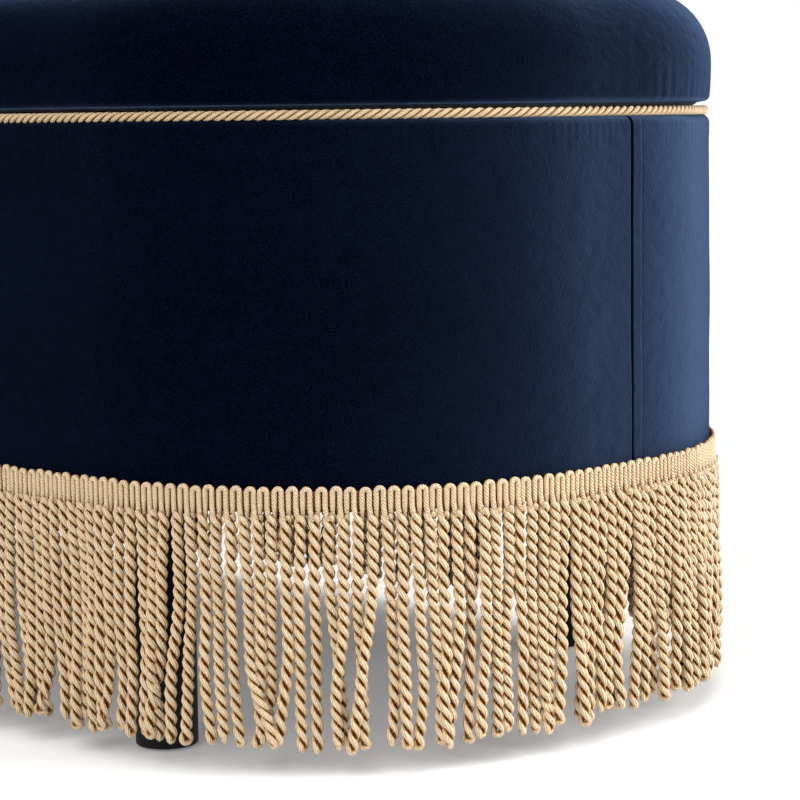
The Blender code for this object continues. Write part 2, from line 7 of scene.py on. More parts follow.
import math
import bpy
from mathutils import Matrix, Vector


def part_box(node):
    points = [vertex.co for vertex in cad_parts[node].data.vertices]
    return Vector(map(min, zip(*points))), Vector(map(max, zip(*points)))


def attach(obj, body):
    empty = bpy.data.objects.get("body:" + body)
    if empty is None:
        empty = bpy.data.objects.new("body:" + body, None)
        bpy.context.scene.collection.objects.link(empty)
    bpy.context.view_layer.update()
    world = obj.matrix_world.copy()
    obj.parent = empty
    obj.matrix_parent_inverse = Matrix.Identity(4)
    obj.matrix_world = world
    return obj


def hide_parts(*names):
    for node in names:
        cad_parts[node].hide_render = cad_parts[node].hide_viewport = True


bl_info = {
    "name": "Fringed Storage Bench",
    "version": (1, 0, 0),
    "blender": (4, 5, 0),
    "location": "3D View > Sidebar > Bench",
    "description": "Dresses the frame of an oblong storage bench in velvet, rope and bullion fringe",
    "category": "Object",
}

import bmesh
import bpy
import numpy as np
from bpy.props import FloatProperty, FloatVectorProperty, IntProperty, PointerProperty
from mathutils import Matrix, Vector

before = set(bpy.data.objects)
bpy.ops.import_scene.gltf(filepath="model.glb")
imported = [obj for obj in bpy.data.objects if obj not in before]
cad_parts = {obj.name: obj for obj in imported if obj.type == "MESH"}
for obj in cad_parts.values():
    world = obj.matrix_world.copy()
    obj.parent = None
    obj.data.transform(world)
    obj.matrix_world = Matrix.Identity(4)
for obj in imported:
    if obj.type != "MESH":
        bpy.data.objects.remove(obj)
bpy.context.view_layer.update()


def boxes(*nodes):
    """Lowest and highest corner of some nodes of the frame together."""
    corners = np.array([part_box(node) for node in nodes])
    return Vector(corners[:, 0].min(0)), Vector(corners[:, 1].max(0))


COVER_LOW, COVER_HIGH = boxes("velvet_front", "velvet_back")
ROPE_LOW, ROPE_HIGH = boxes("rope_trim", "rope_trim_back")
LID_LOW = boxes("lid_cover")[0]
LINING_LOW, LINING_HIGH = boxes("box_lining")
HINGES = ("left", "right")
CORNERS = ("front_right", "front_left", "back_right", "back_left")
BUTTONS = [name for name in sorted(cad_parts) if name.startswith("tuft_button_")]

# How far the cushion's lower edge hangs below the solid lid cover
LID_DROP = 0.0021

# Points this close are merged, and places this close count as the same
WELD = 1e-6
SLACK = 1e-5


def size(name, default, description):
    """A length that a user can change."""
    return FloatProperty(name=name, default=default, description=description, unit="LENGTH", precision=4)


def angle(name, default, description):
    """An angle that a user can change, in radians."""
    return FloatProperty(name=name, default=default, description=description, subtype="ANGLE")


def number(name, default, least, description):
    """A whole number that a user can change."""
    return IntProperty(name=name, default=default, min=least, description=description)


def colour(name, default, description):
    """A colour that a user can change."""
    return FloatVectorProperty(
        name=name, default=default, description=description, subtype="COLOR", size=3, min=0, max=1
    )


class BenchBodySizes(bpy.types.PropertyGroup):
    """Sizes of the upholstered box."""

    length: size("Length", COVER_HIGH.x - COVER_LOW.x, "Length over the velvet")
    width: size("Width", COVER_HIGH.y - COVER_LOW.y, "Depth over the velvet")
    end_flat: size("End Flat", 0.05, "Straight stretch in the middle of each end")
    bottom: size("Bottom", COVER_LOW.z, "Height of the velvet's lower edge")
    top: size("Top", COVER_HIGH.z, "Height of the velvet's upper edge")
    edge_radius: size("Edge Radius", 0.006, "Rounding of the upper edge")
    cloth: size("Cloth", 0.0016, "Thickness of the velvet with its backing")
    turn_in: size("Turn In", 0.017, "Velvet that runs over the top of the wall")
    turn_under: size("Turn Under", 0.022, "Velvet that runs under the wall")
    seam_behind: size("Seam Behind Middle", 0.013, "Distance of the end seams behind the end's middle")
    stitch_line: size("Stitch Line", 0.0098, "Distance of the topstitching from the seam")


class BenchTrimSizes(bpy.types.PropertyGroup):
    """Sizes of the rope, the gimp header and the bullion fringe."""

    rope: size("Rope", 0.006, "Thickness of the rope")
    rope_lay: size("Rope Lay", 0.0189, "Length of one turn of the rope's plies")
    loop_pitch: size("Loop Pitch", 0.0081, "Distance between neighbouring loops and strands")
    loop_cord: size("Loop Cord", 0.0035, "Thickness of the cord in the header's loops")
    loop_slit: size("Loop Slit", 0.0006, "Gap between the two legs of a loop")
    header_top: size("Header Top", 0.169, "Height of the tops of the loops")
    header_bottom: size("Header Bottom", 0.1518, "Height of the header's lower edge")
    strand_end: size("Strand End", 0.016, "Mean height of the strands' lower ends")
    ply: size("Strand Ply", 0.0038, "Thickness of one of a strand's two plies")
    ply_offset: size("Ply Offset", 0.00198, "Distance of each ply from the strand's middle")
    strand_turn: size("Strand Turn", 0.0156, "Length of one turn of a strand's two plies")


class BenchLidSizes(bpy.types.PropertyGroup):
    """Sizes of the cushion lid."""

    bottom: size("Bottom", LID_LOW.z - LID_DROP, "Height of the cushion's lower edge")
    underside: size("Underside", LID_LOW.z, "Height of the velvet under the lid board")
    roll: size("Roll", 0.0026, "How far the padding inside the lower edge hangs below that edge")
    foot_radius: size("Foot Radius", 0.0045, "Rounding of the lower edge")
    bulge: size("Bulge", 0.001, "How far the side stands out beyond the body")
    bulge_height: size("Bulge Height", 0.0251, "Height of the fullest part above the lower edge")
    shoulder: size("Shoulder", 0.046, "Radius of the upper edge")
    shoulder_turn: angle("Shoulder Turn", math.radians(80), "How far the upper edge turns over")
    crown: size("Crown", 0.016, "Rise of the top from the shoulder to the middle")
    tuft_depth: size("Tuft Depth", 0.012, "Depth of the dip under each button")
    tuft_spread: size("Tuft Spread", 0.026, "Width of the dip round each button")
    turn_under: size("Turn Under", 0.03, "Velvet that runs under the lid board")


class BenchColours(bpy.types.PropertyGroup):
    """Colours of the finishes."""

    velvet: colour("Velvet", (0.0006, 0.0013, 0.0053), "Navy of the velvet's pile")
    velvet_sheen: colour("Velvet Sheen", (0.31, 0.515, 0.97), "Light on the tips of the pile")
    gold: colour("Gold Cord", (0.86, 0.73, 0.56), "Pale gold of the cords")
    # Painted shade: the furrow and fold colours stand for the shadow and warm bounced light deep between
    # the cords' yarns and plies
    gold_furrow_shade: colour("Gold Furrow Shade", (0.64, 0.38, 0.13), "Warm gold between yarns and on plies' flanks")
    gold_fold_shade: colour("Gold Fold Shade", (0.16, 0.044, 0.003), "Brown deep in the folds between the plies")
    lining: colour("Lining", (0.012, 0.012, 0.014), "Black lining cloth")
    paint: colour("Foot Paint", (0.009, 0.009, 0.009), "Black paint of the feet")
    glide: colour("Glide Plastic", (0.1, 0.1, 0.1), "Dark plastic of the glides")
    rubber: colour("Bumper Rubber", (0.06, 0.06, 0.06), "Dark rubber of the lid's soft stops")
    wood: colour("Plywood", (0.6, 0.44, 0.27), "Bare plywood")
    steel: colour("Hinge Steel", (0.55, 0.54, 0.52), "Plated steel of the hinges")
    floor: colour("Floor", (0.95, 0.95, 0.95), "Studio floor")


class Outline:
    """The bench's outline from above, made of straight runs and quarter circles."""

    def __init__(self, body):
        self.radius = (body.width - body.end_flat) / 2
        self.along = body.length / 2 - self.radius
        self.across = body.end_flat / 2
        quarter = self.radius * math.pi / 2
        half = [self.across, quarter, 2 * self.along, quarter, self.across]
        self.marks = np.concatenate([[0], np.cumsum(half + half)])
        self.perimeter = self.marks[-1]
        self.end_half = self.across + quarter
        x, y = self.along, self.across
        self.centre_x = [x, x, x, -x, -x, -x, -x, -x, x, x, x]
        self.centre_y = [0, y, y, y, y, 0, -y, -y, -y, -y, 0]
        self.angle = np.array([0, 0, 1, 1, 2, 2, 2, 3, 3, 4, 4]) * math.pi / 2

    def at(self, distance):
        """Centres and outward directions at distances round the outline."""
        lap = np.mod(distance, self.perimeter)
        lines = (self.centre_x, self.centre_y)
        centre = np.stack([np.interp(lap, self.marks, line) for line in lines], -1)
        turn = np.interp(lap, self.marks, self.angle)
        return centre, np.stack([np.cos(turn), np.sin(turn)], -1)

    def points(self, distance, inset, z):
        """Points that lie an inset inside the body's face."""
        distance, inset, z = np.broadcast_arrays(distance, inset, z)
        centre, outward = self.at(distance)
        flat = centre + outward * (self.radius - inset)[..., None]
        return np.concatenate([flat, z[..., None]], -1)

    def axes(self, distance):
        """Directions along the outline, outwards and up."""
        outward = self.at(distance)[1]
        level = np.zeros(outward.shape[:-1] + (1,))
        out = np.concatenate([outward, level], -1)
        along = np.concatenate([-outward[..., 1:], outward[..., :1], level], -1)
        return along, out, np.broadcast_to((0.0, 0.0, 1.0), out.shape)

    def from_core(self, x, y):
        """Distance of points from the rectangle that the corners are rounded about."""
        return np.hypot(np.maximum(abs(x) - self.along, 0), np.maximum(abs(y) - self.across, 0))

    def whole(self, lengths):
        """Lengths changed a little, so that each fits round the outline a whole number of times."""
        return self.perimeter / np.rint(self.perimeter / lengths)


def activate(piece):
    """Makes a piece the only selected object."""
    bpy.ops.object.select_all(action="DESELECT")
    piece.select_set(True)
    bpy.context.view_layer.objects.active = piece


def primitive(name, add, **settings):
    """Adds a primitive with one of Blender's operators and names it."""
    bpy.ops.object.select_all(action="DESELECT")
    add(**settings)
    piece = bpy.context.object
    piece.name = name
    piece.data.name = name
    return piece


def points_of(piece):
    """Places of a piece's points, one row for each."""
    flat = np.empty(3 * len(piece.data.vertices))
    piece.data.vertices.foreach_get("co", flat)
    return flat.reshape(-1, 3)


def set_points(piece, points):
    """Moves a piece's points."""
    piece.data.vertices.foreach_set("co", np.ascontiguousarray(points, np.float32).ravel())
    piece.data.update()


def set_uv(piece, rows):
    """Fills a piece's UV map from one (u, v) row for each of its points."""
    corner = np.empty(len(piece.data.loops), int)
    piece.data.loops.foreach_get("vertex_index", corner)
    piece.data.uv_layers[0].data.foreach_set("uv", rows[corner].astype(np.float32).ravel())


def set_groove(mesh, depth):
    """Stores how deep each point lies in the folds of a cord, from 0 to 1."""
    groove = mesh.attributes.new("groove", "FLOAT", "POINT")
    groove.data.foreach_set("value", depth.astype(np.float32).ravel())


def smooth(piece, degrees=None):
    """Shades a piece smooth, all over or only across edges that bend less than an angle."""
    activate(piece)
    if degrees is None:
        bpy.ops.object.shade_smooth()
    else:
        bpy.ops.object.shade_smooth_by_angle(angle=math.radians(degrees))


def paint(piece, material):
    """Gives a piece one material."""
    piece.data.materials.clear()
    piece.data.materials.append(material)


def repaint(starts, material):
    """Gives the frame's nodes whose names start in one of these ways a finished material."""
    for name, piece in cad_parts.items():
        if name.startswith(starts):
            paint(piece, material)


def dress(piece, material, body, slot, *nodes):
    """Gives a finished piece its material and its place in the frame."""
    paint(piece, material)
    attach(piece, body)
    if nodes:
        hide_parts(*nodes)


def apply_modifier(piece, kind, **settings):
    """Adds a modifier with its settings and applies it."""
    activate(piece)
    modifier = piece.modifiers.new(kind.title(), kind)
    for key, value in settings.items():
        setattr(modifier, key, value)
    bpy.ops.object.modifier_apply(modifier=modifier.name)


def weld(piece):
    """Opens a piece in edit mode, selects all of it and merges points that lie on each other."""
    activate(piece)
    bpy.ops.object.mode_set(mode="EDIT")
    bpy.ops.mesh.select_all(action="SELECT")
    bpy.ops.mesh.remove_doubles(threshold=WELD)


def select_rim(piece, within, lead=None):
    """Selects the open edges, of a piece in edit mode, whose points pass a test.

    The point with the highest lead becomes the active one.
    """
    bpy.ops.mesh.select_all(action="DESELECT")
    form = bmesh.from_edit_mesh(piece.data)
    rim = [edge for edge in form.edges if edge.is_boundary and all(within(vert.co) for vert in edge.verts)]
    for edge in rim:
        edge.select_set(True)
    if lead:
        verts = {vert for edge in rim for vert in edge.verts}
        form.select_history.clear()
        form.select_history.add(max(verts, key=lambda vert: lead(vert.co)))
    bmesh.update_edit_mesh(piece.data)


def face_outwards():
    """Turns the faces of the piece in edit mode outwards and leaves edit mode."""
    bpy.ops.mesh.select_all(action="SELECT")
    bpy.ops.mesh.normals_make_consistent(inside=False)
    bpy.ops.object.mode_set(mode="OBJECT")


def laid_sheet(name, outline, distances, profile, shape=None):
    """A grid laid round the outline: its columns lie at the distances, its rows on the profile.

    The profile's points are (inset, height). shape takes each point's distance, inset and height, and
    gives its inset and height on the uneven cloth.
    """
    columns, rows = len(distances) - 1, len(profile) - 1
    add = bpy.ops.mesh.primitive_grid_add
    piece = primitive(name, add, x_subdivisions=columns, y_subdivisions=rows, size=2)
    flat = points_of(piece)
    column = np.rint((flat[:, 0] + 1) / 2 * columns).astype(int)
    row = np.rint((flat[:, 1] + 1) / 2 * rows).astype(int)
    insets, heights = np.array(profile).T
    steps = np.hypot(np.diff(insets), np.diff(heights))
    girth = np.concatenate([[0], np.cumsum(steps)])
    distance, inset, z = np.asarray(distances)[column], insets[row], heights[row]
    if shape:
        inset, z = shape(distance, inset, z)
    set_points(piece, outline.points(distance, inset, z))
    set_uv(piece, np.stack([distance, girth[row]], -1))
    smooth(piece)
    return piece


def arc(inset, z, radius, start, end, steps):
    """(inset, height) points of an arc, by their angle above the outward level."""
    turns = np.linspace(start, end, steps + 1)
    return [(inset - radius * math.cos(turn), z + radius * math.sin(turn)) for turn in turns]


def run(first, last, steps):
    """Evenly spaced (inset, height) points after the first one, up to the last."""
    shares = [k / steps for k in range(1, steps + 1)]
    return [tuple(a + (b - a) * share for a, b in zip(first, last)) for share in shares]


def unit(vectors):
    """Vectors brought to a length of one."""
    return vectors / np.linalg.norm(vectors, axis=-1, keepdims=True)


def face_mesh(name, points, *faces):
    """A mesh of faces, and the point number of each of its corners.

    The faces come as arrays that hold a row of point numbers for each face.
    """
    corners = np.concatenate([block.ravel() for block in faces])
    totals = np.concatenate([np.full(len(block), block.shape[1]) for block in faces])
    starts = np.concatenate([[0], np.cumsum(totals)[:-1]])
    mesh = bpy.data.meshes.new(name)
    mesh.vertices.add(points.size // 3)
    mesh.vertices.foreach_set("co", points.astype(np.float32).ravel())
    mesh.loops.add(len(corners))
    mesh.loops.foreach_set("vertex_index", corners.astype(np.int32))
    mesh.polygons.add(len(totals))
    mesh.polygons.foreach_set("loop_start", starts.astype(np.int32))
    mesh.update(calc_edges=True)
    return mesh, corners


def tube_mesh(name, paths, spokes, radius, sides, fold=1.0):
    """One mesh of round tubes with closed ends, one tube along each path.

    The spokes point outwards from the cord that a path winds in. The UV map holds the length along
    the tube and the share of the way round it, and "groove" rises to the fold on the side that faces in.
    """
    tubes, rings = paths.shape[:2]
    radius = np.broadcast_to(radius, (tubes, rings))
    tangent = unit(np.gradient(paths, axis=1))
    first = unit(spokes - (spokes * tangent).sum(-1, keepdims=True) * tangent)
    second = np.cross(tangent, first)
    shares = np.arange(sides) / sides
    turns = shares * 2 * math.pi
    wheel = np.cos(turns)[:, None] * first[:, :, None] + np.sin(turns)[:, None] * second[:, :, None]
    points = paths[:, :, None] + radius[:, :, None, None] * wheel
    index = np.arange(points.size // 3).reshape(tubes, rings, sides)
    near, far = index[:, :-1], index[:, 1:]
    quads = np.stack([near, np.roll(near, -1, 2), np.roll(far, -1, 2), far], -1).reshape(-1, 4)
    caps = np.concatenate([index[:, 0, ::-1], index[:, -1]])
    mesh, corners = face_mesh(name, points, quads, caps)
    steps = np.linalg.norm(np.diff(paths, axis=1), axis=-1)
    length = np.concatenate([np.zeros((tubes, 1)), np.cumsum(steps, 1)], 1)
    along = np.broadcast_to(length[:, :, None], index.shape).ravel()[corners]
    around = np.broadcast_to(shares, index.shape).ravel()[corners]
    wrapped = np.zeros((len(quads) // sides, sides, 4), bool)
    wrapped[:, -1, 1:3] = True
    around[: quads.size] += wrapped.ravel()
    layer = mesh.uv_layers.new(name="UVMap")
    layer.data.foreach_set("uv", np.stack([along, around], -1).astype(np.float32).ravel())
    set_groove(mesh, np.broadcast_to(fold, (tubes, rings))[:, :, None] * (1 - np.cos(turns)) / 2)
    mesh.shade_smooth()
    piece = bpy.data.objects.new(name, mesh)
    bpy.context.scene.collection.objects.link(piece)
    return piece


def ripples(outline, seed, waves, shortest, longest, depth):
    """A smooth random unevenness that closes round the bench, by distance, inset and height."""
    dice = np.random.default_rng(seed)
    length = outline.whole(dice.uniform(shortest, longest, waves))
    lean = 2 * dice.uniform(-1, 1, waves)
    phase = dice.uniform(0, 2 * math.pi, waves)

    def height(distance, inset, z):
        turns = 2 * math.pi * (distance[:, None] + lean * (z - inset)[:, None]) / length + phase
        return depth * np.sin(turns).sum(1) / math.sqrt(waves)

    return height


# Shader helpers


def plug(tree, inputs, sources):
    """Links each named input to its source, or sets it where the source is a plain value."""
    for socket, source in sources.items():
        if isinstance(source, bpy.types.NodeSocket):
            tree.links.new(source, inputs[socket])
        else:
            inputs[socket].default_value = source


def node(tree, kind, sources=None, **values):
    """Adds a shader node, sets its properties and plugs in its sources."""
    made = tree.nodes.new("ShaderNode" + kind)
    for key, value in values.items():
        setattr(made, key, value)
    plug(tree, made.inputs, sources or {})
    return made


def math_node(tree, operation, *values):
    """The result of an arithmetic node."""
    return node(tree, "Math", dict(enumerate(values)), operation=operation).outputs[0]


def ramp(tree, value, low, high):
    """A value brought from between two limits to between 0 and 1."""
    return node(tree, "MapRange", {"Value": value, "From Min": low, "From Max": high}).outputs[0]


def blend_colours(tree, factor, first, second):
    """The colour between two colours at a factor."""
    return node(tree, "Mix", {0: factor, 6: first, 7: second}, data_type="RGBA").outputs[2]


def noise(tree, vector, scale, detail):
    """Cloudy noise between 0 and 1."""
    return node(tree, "TexNoise", {"Vector": vector, "Scale": scale, "Detail": detail}).outputs["Fac"]


def uv_map(tree):
    """A piece's own UV map."""
    return node(tree, "UVMap", uv_map="UVMap").outputs["UV"]


def new_group(name, inputs, outputs):
    """A node group with named float, vector and colour sockets."""
    group = bpy.data.node_groups.new(name, "ShaderNodeTree")
    for direction, sockets in (("INPUT", inputs), ("OUTPUT", outputs)):
        for label, kind in sockets.items():
            group.interface.new_socket(name=label, in_out=direction, socket_type="NodeSocket" + kind)
    entry = group.nodes.new("NodeGroupInput")
    leave = group.nodes.new("NodeGroupOutput")
    return group, entry.outputs, leave.inputs


# Stretch of the pile's noise, and for each layer its scale as a share of the speckle's, its detail and
# its height in metres
PILE_STRETCH = (0.45, 0.45, 0.85)
PILE_LAYERS = ((1.0, 0.0, 0.00022), (0.09, 2.0, 0.0006), (0.0065, 3.0, 0.0025))
SPECKLE_WEIGHT = 3.5
PILE_CONTRAST = 0.9
PILE_DARKNESS = 1.98


def pile_group():
    """Velvet pile: fine speckle of the tips, mottling, and broad patches where the pile was brushed.

    Lean is a height that rises along the cloth, against the way that the whole pile lies.
    """
    group, entry, leave = new_group(
        "Velvet Pile",
        {"Vector": "Vector", "Lean": "Float", "Speckle": "Float", "Base": "Color", "Tips": "Color"},
        {"Color": "Color", "Height": "Float"},
    )
    combed = node(group, "Mapping", {"Vector": entry["Vector"], "Scale": PILE_STRETCH}).outputs[0]
    layers = []
    rough = 0.0
    for share, detail, relief in PILE_LAYERS:
        scale = math_node(group, "MULTIPLY", entry["Speckle"], share)
        layers.append(noise(group, combed, scale, detail))
        rough = math_node(group, "MULTIPLY_ADD", layers[-1], relief, rough)
    speckle, mottling, patches = layers
    broad = math_node(group, "ADD", mottling, patches)
    shade = math_node(group, "MULTIPLY_ADD", speckle, SPECKLE_WEIGHT, broad)
    contrast = math_node(group, "MULTIPLY_ADD", shade, PILE_CONTRAST, -PILE_DARKNESS)
    factor = node(group, "Clamp", {"Value": contrast}).outputs[0]
    mixed = blend_colours(group, factor, entry["Base"], entry["Tips"])
    height = math_node(group, "SUBTRACT", rough, entry["Lean"])
    plug(group, leave, {"Color": mixed, "Height": height})
    return group


def yarn_group():
    """Fine yarns that wind round a ply: ridges along the UV map of a tube."""
    group, entry, leave = new_group(
        "Wound Yarn",
        {"UV": "Vector", "Yarns": "Float", "Turns": "Float"},
        {"Ridge": "Float"},
    )
    parts = node(group, "SeparateXYZ", {"Vector": entry["UV"]}).outputs
    along = math_node(group, "MULTIPLY", parts["X"], entry["Turns"])
    around = math_node(group, "MULTIPLY_ADD", parts["Y"], entry["Yarns"], along)
    wave = math_node(group, "SINE", math_node(group, "MULTIPLY", around, 2 * math.pi))
    plug(group, leave, {"Ridge": math_node(group, "MULTIPLY_ADD", wave, 0.5, 0.5)})
    return group


def weave_group():
    """Plain weave of a cloth whose UV map is in metres, with slubs that are many threads long."""
    group, entry, leave = new_group(
        "Plain Weave",
        {"UV": "Vector", "Threads": "Float"},
        {"Height": "Float", "Slub": "Float"},
    )
    parts = node(group, "SeparateXYZ", {"Vector": entry["UV"]}).outputs
    waves = []
    for axis in ("X", "Y"):
        turns = math_node(group, "MULTIPLY", parts[axis], entry["Threads"])
        waves.append(math_node(group, "SINE", math_node(group, "MULTIPLY", turns, math.pi)))
    slub_scale = math_node(group, "MULTIPLY", entry["Threads"], 0.06)
    slub = noise(group, entry["UV"], slub_scale, 3.0)
    plug(group, leave, {"Height": math_node(group, "MULTIPLY", *waves), "Slub": slub})
    return group


def finish_group():
    """Uneven finish of hard pieces: a soft cloud of shade with finer grain in it."""
    shades = {"Base": "Color", "Worn": "Color", "Low": "Float", "High": "Float"}
    group, entry, leave = new_group(
        "Uneven Finish",
        {"Vector": "Vector", "Scale": "Float", **shades},
        {"Color": "Color", "Roughness": "Float", "Height": "Float"},
    )
    cloud = noise(group, entry["Vector"], entry["Scale"], 6.0)
    mixed = blend_colours(group, cloud, entry["Base"], entry["Worn"])
    spread = math_node(group, "SUBTRACT", entry["High"], entry["Low"])
    rough = math_node(group, "MULTIPLY_ADD", cloud, spread, entry["Low"])
    plug(group, leave, {"Color": mixed, "Roughness": rough, "Height": cloud})
    return group


def place_group(tree, name, builder, sources):
    """Places a node group in a material's tree, and builds it the first time that it is asked for."""
    group = bpy.data.node_groups.get(name) or builder()
    return node(tree, "Group", sources, node_tree=group).outputs


def new_material(name, **sockets):
    """A material with a Principled shader, its constant values set on the shader's own sockets."""
    material = bpy.data.materials.new(name)
    material.use_nodes = True
    tree = material.node_tree
    shader = tree.nodes["Principled BSDF"]
    for label, value in sockets.items():
        shader.inputs[label.replace("_", " ").title().replace("Ior", "IOR")].default_value = value
    return material, tree, shader


def bump(tree, shader, height, distance, strength=1.0):
    """Feeds a height to the shader's normal."""
    made = node(tree, "Bump", {"Height": height, "Distance": distance, "Strength": strength})
    plug(tree, shader.inputs, {"Normal": made.outputs["Normal"]})


def opaque(value, factor=1.0):
    """A colour with full alpha, made lighter or darker by a factor."""
    return (*(channel * factor for channel in value), 1.0)


def velvet_material(name, sheen, spread, nap, space="Object"):
    """Short velvet pile, dark from the front and pale along its tips.

    The spread is how far the light on the tips reaches in from grazing angles. The nap is the slope at
    which the pile leans along each axis of the UV map or of the object's own space.
    """
    colours = bpy.context.scene.bench_colours
    material, tree, shader = new_material(
        name,
        roughness=0.9,
        specular_ior_level=0.0,
        sheen_weight=sheen,
        sheen_roughness=spread,
        sheen_tint=opaque(colours.velvet_sheen),
    )
    place = node(tree, "TexCoord").outputs
    lean = node(tree, "VectorMath", {0: place[space], 1: nap}, operation="DOT_PRODUCT").outputs["Value"]
    sources = {
        "Vector": place["Object"],
        "Lean": lean,
        "Speckle": 1900.0,
        "Base": opaque(colours.velvet, 0.25),
        "Tips": opaque(colours.velvet, 2.0),
    }
    pile = place_group(tree, "Velvet Pile", pile_group, sources)
    plug(tree, shader.inputs, {"Base Color": pile["Color"]})
    bump(tree, shader, pile["Height"], 1.0)
    return material


# Painted shade on the cords: where the warm shade on a ply's flank starts and ends, before and past the
# start of its fold, and the warmth of the shade in its furrows
FLANK_SHADE_START = -0.34
FLANK_SHADE_END = 0.1
FURROW_SHADE = 0.8


def cord_material(name, yarns, turns, fold_shade_start, fold_shade_end):
    """Shiny wound cord, warmer between its fine yarns and on its plies' flanks, and brown in the folds."""
    colours = bpy.context.scene.bench_colours
    material, tree, shader = new_material(name, roughness=0.4, specular_ior_level=0.2)
    sources = {"UV": uv_map(tree), "Yarns": yarns, "Turns": turns}
    yarn = place_group(tree, "Wound Yarn", yarn_group, sources)
    # The fold depth paints shade: warm on the flanks, then brown deep in the folds
    groove = node(tree, "Attribute", attribute_name="groove").outputs["Fac"]
    flank_shade = ramp(tree, groove, fold_shade_start + FLANK_SHADE_START, fold_shade_start + FLANK_SHADE_END)
    # Painted warm shade in the furrows between the yarns
    furrow = math_node(tree, "SUBTRACT", 1.0, yarn["Ridge"])
    furrow_and_flank_shade = math_node(tree, "MAXIMUM", math_node(tree, "MULTIPLY", furrow, FURROW_SHADE), flank_shade)
    wound = blend_colours(tree, furrow_and_flank_shade, opaque(colours.gold), opaque(colours.gold_furrow_shade))
    mixed = blend_colours(tree, ramp(tree, groove, fold_shade_start, fold_shade_end), wound, opaque(colours.gold_fold_shade))
    plug(tree, shader.inputs, {"Base Color": mixed})
    bump(tree, shader, yarn["Ridge"], 0.0006)
    return material


def cloth_material(name, threads, factor):
    """Plain woven cloth with slubs, made lighter or darker by a factor."""
    colours = bpy.context.scene.bench_colours
    material, tree, shader = new_material(name, roughness=0.85, sheen_weight=0.25, specular_ior_level=0.2)
    weave = place_group(tree, "Plain Weave", weave_group, {"UV": uv_map(tree), "Threads": threads})
    dark, light = opaque(colours.lining, 0.6 * factor), opaque(colours.lining, 1.7 * factor)
    plug(tree, shader.inputs, {"Base Color": blend_colours(tree, weave["Slub"], dark, light)})
    bump(tree, shader, weave["Height"], 0.0004, 0.7)
    return material


def hard_material(name, tint, scale, rough, worn=1.4, relief=0.0001, stretch=(1, 1, 1), **sockets):
    """Paint, plastic, metal or wood with an uneven finish, between two roughnesses."""
    material, tree, shader = new_material(name, **sockets)
    place = node(tree, "TexCoord").outputs["Object"]
    sources = {
        "Vector": node(tree, "Mapping", {"Vector": place, "Scale": stretch}).outputs[0],
        "Scale": scale,
        "Base": opaque(tint, 0.8),
        "Worn": opaque(tint, worn),
        "Low": rough[0],
        "High": rough[1],
    }
    finish = place_group(tree, "Uneven Finish", finish_group, sources)
    plug(tree, shader.inputs, {"Base Color": finish["Color"], "Roughness": finish["Roughness"]})
    bump(tree, shader, finish["Height"], relief, 0.6)
    return material


class BENCH_OT_carcass(bpy.types.Operator):
    """Finish the plywood carcass, the hinges and the lid's soft stops"""

    bl_idname = "bench.carcass"
    bl_label = "Carcass and Hardware"

    def execute(self, context):
        colours = context.scene.bench_colours
        grain, brushed = (0.08, 1, 1), (0.1, 1, 1)
        wood = hard_material(
            "plywood", colours.wood, scale=60, rough=(0.55, 0.8), worn=1.15, relief=0.0004, stretch=grain
        )
        steel = hard_material(
            "hinge_steel", colours.steel, scale=300, rough=(0.25, 0.45), stretch=brushed, metallic=1.0
        )
        rubber = hard_material("bumper_rubber", colours.rubber, scale=200, rough=(0.45, 0.65))
        repaint(("wall_", "base_panel", "batten_", "foot_block_", "lid_board"), wood)
        repaint("hinge_", steel)
        repaint("lid_bumper_", rubber)
        return {"FINISHED"}


